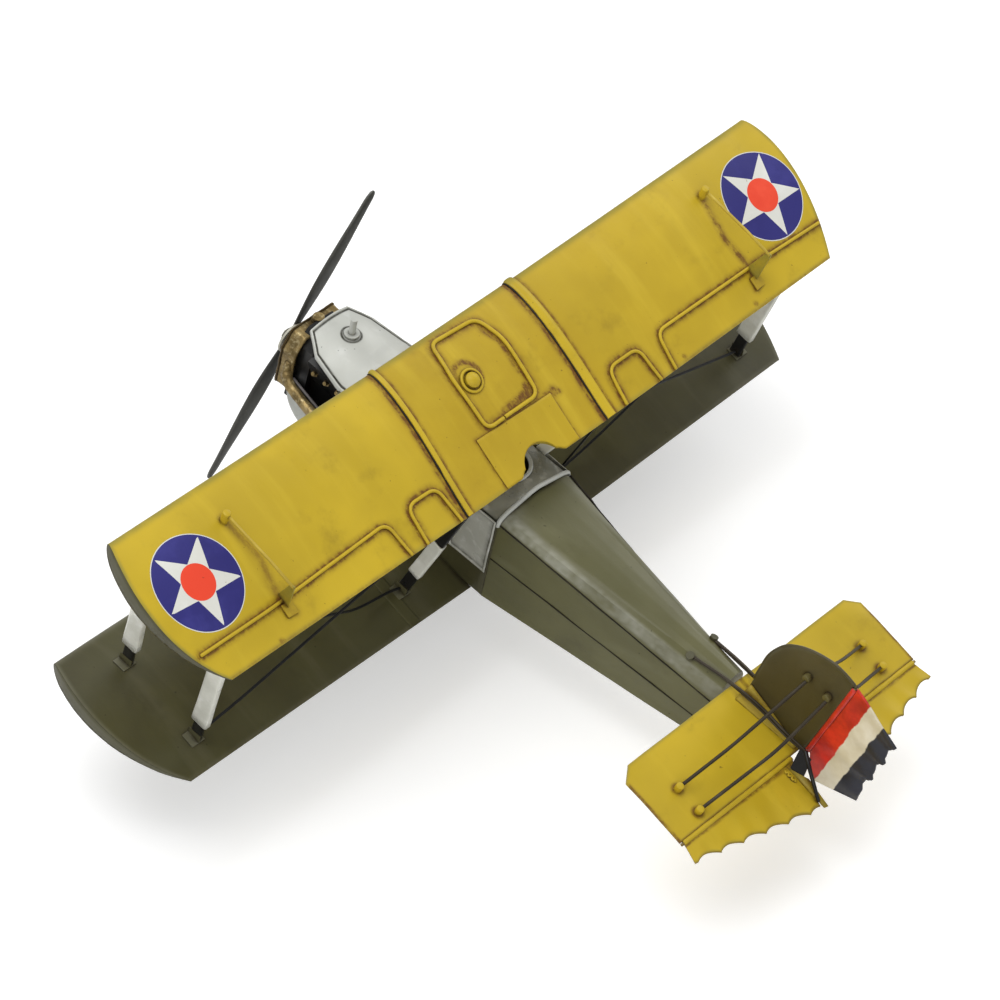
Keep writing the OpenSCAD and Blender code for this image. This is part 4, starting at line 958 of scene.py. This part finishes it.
def hood():
    """Arched plate over the engine with a folded, raised rim."""
    radius, crown, front, length = 43.5, 34.4, 17, 49

    def half_at(y):
        pts = [(front, 14.0), (30, 22.5), (52, 27.0)]
        for (a, b), (c, d) in zip(pts, pts[1:]):
            if y <= c:
                return b + (d - b) * (y - a) / (c - a)
        return pts[-1][1]

    cols = 130
    verts, groove = [], []
    for y in (front + length * (i / 110) for i in range(111)):
        h = half_at(y)
        for k in range(cols + 1):
            x = h * (2 * k / cols - 1)
            edge = min(h - abs(x), y - front)
            z = crown - radius + sqrt(radius * radius - x * x)
            z += 0.8 * fade(edge, 1.1, 1.8) - 0.3 * exp(-((edge - 2.1) / 0.4) ** 2)
            z -= 1.4 * fade(edge, 0.0, 0.35)
            z += 0.5 * smooth(y, 48, 54)
            verts.append((x, y, z + 0.15 * wobble(x, y, 0, 12, 6.0)))
            ring_gap = abs(hypot(x, y - 33.6) - 5.4)
            groove.append(max(fade(abs(edge - 2.1), 0.3, 0.75), fade(ring_gap, 0.3, 0.9)))
    mesh_piece("hood_plate", verts, grid_faces(111, cols + 1), SILVER, replaced=("hood",), angle=60, thick=0.8,
               offset=-1.0, stain=groove)


hood()


def cowl():
    """Rounded lower cowl: sections from the chin aft to the firewall."""
    verts = []
    rows_n, cols, chin, length = 26, 40, 13.4, 38.6
    for i in range(rows_n + 1):
        y = chin + length * (i / rows_n) ** 1.4
        depth = 21.5 * quarter((y - chin) / 17)
        half = 18.8 + 6.0 * (y - chin) / length
        pull = quarter((y - chin) / 6)
        for k in range(cols + 1):
            a = pi * k / cols
            cx, sx = cos(a), sin(a)
            x = half * (0.86 + 0.14 * pull) * copysign(abs(cx) ** 0.55, cx)
            verts.append((x, y, -6 - (6 + depth + 0.6) * abs(sx) ** 0.6))
    mesh_piece("lower_cowl_skin", verts, grid_faces(rows_n + 1, cols + 1), SILVER, replaced=("lower_cowl",),
               angle=50, thick=0.8)


cowl()


def radiator():
    """Hand-folded brass strip round the radiator, with a dark, uneven front lip."""
    half = [(18.6, -12), (19.2, -9), (20, 14.5), (15, 25)]
    loop = half + [(-x, z) for x, z in reversed(half)]
    path = fillet([(x, 0, z) for x, z in loop], 1.0, 0.7)
    verts, n = [], 7
    for p in path:
        out = Vector((p.x, 0, p.z)).normalized()
        for t in steps(0, 1, n - 1):
            dip = -0.3 * sin(pi * t) + 0.16 * wobble(p.x, t * 9, p.z, 5, 8.0)
            y = 7.6 + 9.2 * t + 0.3 * wobble(p.x, 2 + 3 * t, p.z, 5, 3.0)
            verts.append((p.x + out.x * dip, y, p.z + out.z * dip))
    mesh_piece("radiator_strip", verts, grid_faces(len(path), n), BRASS, replaced=("radiator_frame",), thick=1.0)
    lip = [(p.x * 1.02, 7.4 + 0.3 * wobble(p.x, 2, p.z, 5, 3.0), p.z * 1.01) for p in path]
    tube("radiator_lip", lip, [0.7 + 0.2 * wobble(p[0], 0, p[2], 4, 1.0) for p in lip], BRASS_DARK, sides=8)
    face = [(x * 0.95, y, z * 0.96) for y in (10.2, 12.0) for x, z in loop]
    prism("radiator_face", face, BLACK, replaced=("radiator_core",))


radiator()
# painted shade: a black plate inside the nose keeps the engine bay dark and hides the floor behind it
BAY = ((-16, -20), (16, -20), (16, 20), (9, 28), (-9, 28), (-16, 20))
prism("bay_shade_plate", [(x, y, z) for y in (12.4, 24) for x, z in BAY], BLACK)
EXHAUST = ((18.6, 12.6, 7.0), (21.6, 14.5, 1.0), (24.0, 20.0, -1.6), (26.4, 32, -2.4), (28.6, 46, -3.0),
           (30.0, 82, -4.2))
for side, tag in SIDES:
    pipe = fillet([(side * x, y, z) for x, y, z in EXHAUST], 6, 1.0)
    radii = [(3.0 if k > 6 else 2.4) + 0.3 * wobble(p.x, p.y, p.z, 4, 4.0) for k, p in enumerate(pipe)]
    tube(f"exhaust_{tag}", pipe, radii, BRASS, sides=20, replaced=("exhaust_pipes",))
    strip = [(side * (20.8 + 0.48 * k), 19.0 + 2.8 * k, 0.8 - 0.16 * k) for k in range(13)]
    tube(f"bay_strip_{tag}", strip, 0.9, BAY_GREY)


def blades():
    """Twisted, tapering blades with rounded tips and worn edges."""
    lean = Matrix.Rotation(radians(-26.5), 3, "Y")
    verts, faces, rim = [], [], []
    cols, rows_n, root, reach, forward = 14, 60, 3, 95, 3.4
    for turn in (0, 1):
        flip = Matrix.Rotation(pi * turn, 3, "Y")
        start = len(verts)
        for i in range(rows_n + 1):
            r = root + (reach - root) * (1 - (1 - i / rows_n) ** 1.6)
            share = r / reach
            half = 7.4 * (0.36 + 0.64 * sin(pi / 2 * min(1, share / 0.40)) ** 1.4)
            half *= 1 - 0.50 * smooth(share, 0.42, 1.0)
            if share > 0.93:
                half *= sqrt(max(0.0004, 1 - ((share - 0.93) / 0.07) ** 2))
            twist = radians(6 - 8 * share)
            for a in circle(cols):
                x = half * cos(a)
                y = 0.95 * sin(a) * (1 if half > 2 else half / 2)
                p = Vector((x * cos(twist) - y * sin(twist), x * sin(twist) + y * cos(twist) - forward, r))
                verts.append(lean @ (flip @ p))
                rim.append(0.9 if abs(cos(a)) > 0.9 else 0.0)
        faces += grid_faces(rows_n + 1, cols, wrap_cols=True, start=start)
        faces.append(tuple(start + rows_n * cols + k for k in range(cols)))
        faces.append(tuple(start + k for k in range(cols)))
    mesh_piece("propeller_blade_pair", verts, faces, CHARCOAL, body="propeller",
               angle=60, rim=rim)


blades()
tube("propeller_boss", [(0, -5.2, 0), (0, 3.6, 0)], 5.0, CHARCOAL, sides=48, body="propeller",
     replaced=("propeller_blades",))

# ---------- tail ----------

# (y, z) of the elevator hinge, and how far the tail sheets droop aft
ELEV = (356.5, 8.3)
DROOP = radians(13)


def tail_point(x, aft, up=0.0):
    """Point of the stabiliser and elevators, from the hinge line."""
    return (x, ELEV[0] + aft * cos(DROOP) + up * sin(DROOP), ELEV[1] - aft * sin(DROOP) + up * cos(DROOP))


def ruled(name, front, back, rows_n, cols, place, mat, thick, ripple, replaced, body="airframe", band_at=None,
          edge_amount=0.6, grime=None):
    """Sheet between two edge curves; front(t) and back(t) are 2-D points, place lifts them to 3-D.

    ripple(t, s) is the unevenness in mm, band_at the place in the stripes, grime the strength of the wash.
    """
    verts, rim, share, stain = [], [], [], []
    for t in steps(0, 1, rows_n):
        a, b = Vector(front(t)), Vector(back(t))
        length = (b - a).length
        for s in steps(0, 1, cols):
            p = a.lerp(b, s)
            verts.append(place(p.x, p.y, ripple(t, s)))
            rim.append(edge_amount * fade(min(s * length, (1 - s) * length), 0.0, 2.0))
            share.append(band_at(p.x, p.y) if band_at else 0.0)
            stain.append(grime(t, s, p.x, p.y, length) if grime else 0.0)
    mesh_piece(name, verts, grid_faces(rows_n + 1, cols + 1), mat, body=body, replaced=(replaced,), thick=thick,
               rim=rim, stain=stain, band=share)


# half span of the stabiliser, where its corners are clipped, (x, aft) of its pegs
STAB_HALF, STAB_CLIP = 93.2, 85.4
STAB_PEGS = ((73.0, -23.0), (73.0, -7.8))


def stab_front(t):
    """Leading edge with clipped corners."""
    x = -STAB_HALF + 2 * STAB_HALF * t
    if abs(x) < STAB_CLIP:
        return x, -47.6 + 0.5 * wobble(x, 0, 0, 40, 3.0)
    return x, -47.4 + (abs(x) - STAB_CLIP) / 7.8 * 6.4


def stab_ripple(t, s):
    x = abs(-STAB_HALF + 2 * STAB_HALF * t)
    fold = 1.2 * smooth(x, 80, 93) * fade(s, 0.0, 0.35)
    return 0.35 * wobble(x, s * 40, 0, 30, 9.0) + fold * -0.6


def stab_grime(t, s, x, y, length):
    """Wash along the hinge, at the clipped ends, round the pegs and at the foot of the fin."""
    hinge = 0.85 * fade((1 - s) * length, 0.3, 1.3)
    corner = 0.9 * fade(abs(abs(x) - 93.0), 0.3, 1.6) * smooth(s, 0.02, 0.08)
    pegs = max(0.85 * fade(hypot(abs(x) - 73, y - v), 2.2, 4.6) for _, v in STAB_PEGS)
    wires = max(fade(abs(y - v - 0.02 * (73 - abs(x))), 0.4, 2.6) for _, v in STAB_PEGS)
    wires *= 0.5 * smooth(abs(x), 60, 70) * fade(abs(x), 71, 74)
    fin_foot = 0.7 * fade(abs(abs(x) - 2.0), 0.4, 2.0)
    return max(hinge, corner, pegs, wires, fin_foot)


ruled("stabiliser_sheet", stab_front, lambda t: (-93.3 + 186.6 * t, -1.1), 260, 60, tail_point, YELLOW, 1.2,
      stab_ripple, "stabiliser", grime=stab_grime)

for side, tag in SIDES:
    verts = []
    for t in steps(0, 1, 20):
        width = 8.0 * (1 - 0.75 * t)
        height = 7.0 * (1 - t) ** 0.8 + 0.6
        for s in steps(0, 1, 6):
            x = 0.9 + width * s
            verts.append(tail_point(side * x, -41 + 38 * t, 0.7 + height * (1 - s) ** 1.6))
    mesh_piece(f"fin_fairing_{tag}", verts, grid_faces(21, 7), YELLOW, thick=0.6, rim=0.35, stain=0.25)

# scallops of the elevators: how many, and their width
CUSPS = 6
CUSP_WIDTH = 14.1


def elevator(side, tag):
    outer, inner = 94.3, 12.9
    surface = f"elevator_surface_{tag}"

    def back(t):
        x = outer + (inner + 0.9 - outer) * t
        line = 11.4 + (outer - x) * 0.235
        run = (outer - 2 - x) / CUSP_WIDTH
        if run < 0 or run > CUSPS:
            return side * x, line
        return side * x, line - 2.5 * sin(pi * (run - int(run))) ** 0.75

    def front(t):
        return side * (91.5 + (7.6 - 91.5) * t), 0.4

    def ripple(t, s):
        x = outer + (inner - outer) * t
        return 0.25 * wobble(x, s * 20, 0, 16, 2.0 + side) + 0.35 * s * sin((outer - 2 - x) / CUSP_WIDTH * 2 * pi)

    def grime(t, s, x, y, length):
        return max(0.9 * fade(abs(s * length - 1.5), 0.25, 1.0), 0.4 * fade((1 - s) * length, 0.1, 1.0))

    ruled(f"elevator_sheet_{tag}", front, back, 220, 14, tail_point, YELLOW, 1.0, ripple, f"elevator_{tag}",
          body=surface, grime=grime)
    bead = [tail_point(side * x, 0, 0.25 * wobble(i, 0, 0, 12, side)) for i, x in enumerate(steps(91.4, 7.6, 60))]
    tube(f"elevator_bead_{tag}", bead, [1.45 + 0.12 * wobble(i, 1, 0, 5, side) for i in range(61)], YELLOW,
         body=surface, sides=16)
    tab = [tail_point(side * (inner + 3.0 + 0.8 * sin(i * 1.9)), 3.0 + i * 0.75, 0.9) for i in range(11)]
    tube(f"elevator_tab_{tag}", tab, 0.75, YELLOW, body=surface, sides=10)
    outline = [(11.8, 3.4, 0.3), (12.0, 12.2, 0.3), (5.6, 7.6, 9.6), (5.2, -0.4, 8.8)]
    verts = [tail_point(side * (x + dx), aft, up + dx) for dx in (-0.5, 0.5) for x, aft, up in outline]
    prism(f"elevator_horn_plate_{tag}", verts, BLACK, body=surface, replaced=(f"elevator_horn_{tag}",))
    stay = [tail_point(side * 5.0, 2.6, 9.8), tail_point(side * 8.6, 11.5, 6.4), tail_point(side * 13.6, 25.5, 1.4)]
    tube(f"elevator_stay_{tag}", stay, [1.2, 1.1, 0.9], BLACK, body=surface)
    fold = ((13.4, 2, 0.4), (13.2, 29.8, 0.6), (11.6, 30.6, 2.2), (10.2, 14, 3.4))
    mesh_piece(f"elevator_inner_fold_{tag}", [tail_point(side * x, aft, up) for x, aft, up in fold], [(0, 1, 2, 3)],
               YELLOW, body=surface, thick=0.6, rim=0.5, stain=0.2)


for side, tag in SIDES:
    elevator(side, tag)

# fin and rudder: points are (y, z)
FIN_PEGS = ((346.0, 59.4), (360.0, 57.4))
FIN_OUTLINE = ((317.2, 19.5), (321.2, 53.0), (328.5, 67.0), (340.5, 75.0), (357.8, 79.6), (372.2, 75.4))
HINGE_FOOT = (359.4, 10.0)
LEAN = radians(10.6)


def hinge_point(up, aft=0.0):
    """(y, z) at a height along the rudder hinge and a distance aft of it."""
    return HINGE_FOOT[0] + up * sin(LEAN) + aft * cos(LEAN), HINGE_FOOT[1] + up * cos(LEAN) - aft * sin(LEAN)


def upright(y, z, up):
    return up, y, z


def fin_front(t):
    """Front and top edge of the fin, rounded."""
    pts = fillet(FIN_OUTLINE, 8, 0.8)
    k = t * (len(pts) - 1)
    i = min(int(k), len(pts) - 2)
    return tuple(pts[i].lerp(pts[i + 1], k - i))


def fin_back(t):
    return hinge_point(-1.0 + 66.6 * t, -1.15)


ruled("fin_sheet", fin_front, fin_back, 90, 50, upright, FIN_PAINT, 1.5,
      lambda t, s: 0.3 * wobble(t * 60, s * 40, 0, 22, 5.0), "fin", edge_amount=0.45,
      grime=lambda t, s, y, z, length: max(0.9 * fade(hypot(y - a, z - b), 2.0, 4.0) for a, b in FIN_PEGS))
tube("fin_edge_bead", [(0, *fin_front(0.12 + i / 57)) for i in range(50)], [0.9 + 0.15 * wobble(i, 0, 0, 5, 1.0)
     for i in range(50)], FIN_PAINT, sides=10)


# how far the scalloped edge of the rudder is set in, by share of its height
INSET = ((0, 0), (0.10, 0.3), (0.172, 0.7), (0.24, 2.8), (0.29, 2.5), (0.34, 2.9), (0.40, 0.6), (0.42, -0.3),
         (0.47, 1.4), (0.582, 3.2), (0.66, 2.0), (0.70, 0.0), (0.72, -0.3), (0.76, 1.6), (0.851, 2.9), (0.93, 1.5),
         (0.985, 0.2), (1, 0))


def rudder_back(t):
    """Trailing edge with torn scallops, from the foot to the top."""
    a, b = Vector((394.4, 6.2)), Vector((404.2, 60.0))
    way = (b - a).normalized()
    inset = 0.0
    for (t0, v0), (t1, v1) in zip(INSET, INSET[1:]):
        if t0 <= t <= t1:
            inset = v0 + (v1 - v0) * smooth(t, t0, t1)
    return tuple(a.lerp(b, t) + Vector((-way.y, way.x)) * inset)


def rudder_front(t):
    a, b, c = Vector((367.0, -3.2)), Vector((361.4, 13.8)), Vector((373.0, 75.2))
    return tuple(a.lerp(b, t / 0.2) if t < 0.2 else b.lerp(c, (t - 0.2) / 0.8))


def stripe(y, z):
    """0 to 1/3 red, to 2/3 ivory, to 1 navy: measured across the slanting borders of the stripes."""
    def past(a, b):
        way = Vector((b[0] - a[0], b[1] - a[1])).normalized()
        return (y - a[0]) * way.y - (z - a[1]) * way.x
    red, navy = past((369.9, -1.1), (382.6, 72.4)), past((381.2, 2.4), (394.3, 67.4))
    if red < 0:
        return 1 / 3 + red * 0.03
    if navy > 0:
        return 2 / 3 + navy * 0.03
    return 1 / 3 + red / (red - navy) / 3


def rudder_ripple(t, s):
    scallop = 0.29
    return 0.9 * s * sin(2 * pi * (t - 0.05) / scallop) + 0.45 * wobble(t * 60, s * 30, 0, 12, 2.0)


ruled("rudder_sheet", rudder_front, rudder_back, 200, 60, upright, RUDDER, 1.1, rudder_ripple, "rudder",
      body="rudder_surface", band_at=stripe)
bead = [(0.15 * wobble(i, 0, 0, 7, 3.0), *hinge_point(3.2 + 61.6 * i / 40)) for i in range(41)]
tube("rudder_bead", bead, 1.55, RUDDER, body="rudder_surface", sides=16)

# brace and control wires
STAB_NORMAL = Vector(tail_point(0, 0, 1)) - Vector(tail_point(0, 0, 0))
for side, tag in SIDES:
    for index, (y, z) in enumerate(FIN_PEGS):
        peg(f"fin_peg_{index}_{tag}", (side * 0.6, y, z), (side, 0, 0), 2.1, 3.0, PEG_PAINT, "tail_pegs")
        root = Vector(tail_point(side * STAB_PEGS[index][0], STAB_PEGS[index][1], 0.4))
        peg(f"stabiliser_peg_{index}_{tag}", root, STAB_NORMAL, 2.1, 4.4, YELLOW, "tail_pegs")
        start = Vector((side * 2.4, y + 0.8, z - 1.2))
        end = root + STAB_NORMAL * 2.6 - Vector((side * 1.6, 0, 0))
        bend = start.lerp(end, 0.42 if index else 0.6) + Vector((0, 0.8 + 1.2 * index, -1.0 - 1.4 * index))
        path = fillet([start, bend, end], 9, 1.5)
        radii = [0.95 + 0.1 * wobble(k, 0, 0, 4, 2.0) for k in range(len(path))]
        tube(f"brace_wire_{index}_{tag}", path, radii, WIRE, replaced=("tail_brace_wires",), sides=12)
    for strand, (lift, spread) in enumerate(((0.0, 0.0), (-1.2, 1.7))):
        start = Vector((side * (8.8 - spread * 0.3), 286.0, 22.0))
        path = fillet([start, (side * (7.2 - spread * 0.3), 306, 23.6 + lift),
                       (side * (5.2 + spread * 0.4), 328, 22.4 + lift),
                       (side * (5.2 + spread * 0.5), 350, 18.4 + lift), (side * 5.2, 361.0, 17.8 + lift)], 8, 1.5)
        wire = tube(f"control_wire_{strand}_{tag}", path, 0.8 - 0.2 * strand, WIRE, body=None)
        row((side * 5.2, 340, 20.5))
        row((side * 5.2, 360, 18))
        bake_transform(wire)
        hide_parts("control_wires")

# ---------- finishes of the CAD nodes that stay in view ----------

FINISH = {
    YELLOW: ("tank_cap",),
    OLIVE: ("fuselage_pegs", "rim_port", "rim_starboard"),
    SILVER: ("hood_post",),
    BRASS: ("engine_studs", "radiator_cap", "nose_bearing", "elevator_hinge_wires", "rudder_hinge_wire"),
    BLACK: ("firewall", "engine_block", "undercarriage_legs", "tail_skid"),
    IVORY: ("propeller_hub",),
    STEEL: ("propeller_shaft", "axle"),
    SEAT: ("seats",),
    RUBBER: ("tyre_port", "tyre_starboard"),
}
ROUND_NODES = FINISH[RUBBER]
for material, names in FINISH.items():
    for name in names:
        obj = frame["nodes"][name]
        obj.data.materials.clear()
        obj.data.materials.append(material)
        if name not in ROUND_NODES:
            weld = obj.modifiers.new("weld", "WELD")
            weld.merge_threshold = 1e-6
            soften(obj, 0.22)

# ---------- floor, light, camera ----------


def floor():
    bpy.ops.mesh.primitive_plane_add(size=8, location=(0, 0, 0))
    plane = bpy.context.active_object
    plane.name = "floor"
    m = Nodes("floor_white")
    seen = m.add("ShaderNodeLightPath").outputs["Is Camera Ray"]
    m.surface(Base_Color=(0.84,) * 3, Roughness=0.9, Specular_Ior_Level=0.1, Emission_Color=(1.0,) * 3,
              Emission_Strength=m.math("MULTIPLY", seen, 0.38))
    plane.data.materials.append(m.mat)


floor()


def area_light(name, place, size, power):
    """Lamp aimed at the middle of the object."""
    data = bpy.data.lights.new(name, "AREA")
    data.shape = "RECTANGLE"
    data.size, data.size_y = size
    data.energy = power
    lamp = bpy.data.objects.new(name, data)
    bpy.context.scene.collection.objects.link(lamp)
    lamp.location = place
    lamp.rotation_euler = (Vector((0, 0, 0.1)) - Vector(place)).to_track_quat("-Z", "Y").to_euler()


area_light("key", (0.4, -0.5, 1.9), (1.6, 1.6), 19)
area_light("fill", (1.6, 1.2, 1.0), (1.4, 1.0), 7.5)
area_light("back", (-1.4, -0.2, 1.1), (1.2, 0.8), 6)

world = bpy.data.worlds.new("studio")
bpy.context.scene.world = world
world.use_nodes = True
background = world.node_tree.nodes["Background"]
background.inputs["Color"].default_value = (1, 1, 1, 1)
camera_ray = world.node_tree.nodes.new("ShaderNodeLightPath").outputs["Is Camera Ray"]
strength = world.node_tree.nodes.new("ShaderNodeMapRange")
strength.inputs["To Min"].default_value = 0.55
strength.inputs["To Max"].default_value = 1.0
world.node_tree.links.new(camera_ray, strength.inputs["Value"])
world.node_tree.links.new(strength.outputs["Result"], background.inputs["Strength"])

# the view of the photo: place and axes of the camera in the row frame
CAMERA_FROM_HUB = Vector((1.5854, 1.3146, 1.8392))
RIGHT = Vector((-0.66138, 0.74370, 0.09741))
DOWN = Vector((0.46746, 0.51026, -0.72188))
FORWARD = Vector((-0.58657, -0.43190, -0.68513))
cam_data = bpy.data.cameras.new("camera")
cam_data.lens = 188.5
cam_data.sensor_width = 36
cam_data.clip_end = 50
camera = bpy.data.objects.new("camera", cam_data)
bpy.context.scene.collection.objects.link(camera)
turn = Matrix((RIGHT, -DOWN, -FORWARD)).transposed().to_4x4()
camera.matrix_world = Matrix.Translation(HUB + CAMERA_FROM_HUB) @ turn
bpy.context.scene.camera = camera
bpy.context.scene.view_settings.view_transform = "Standard"
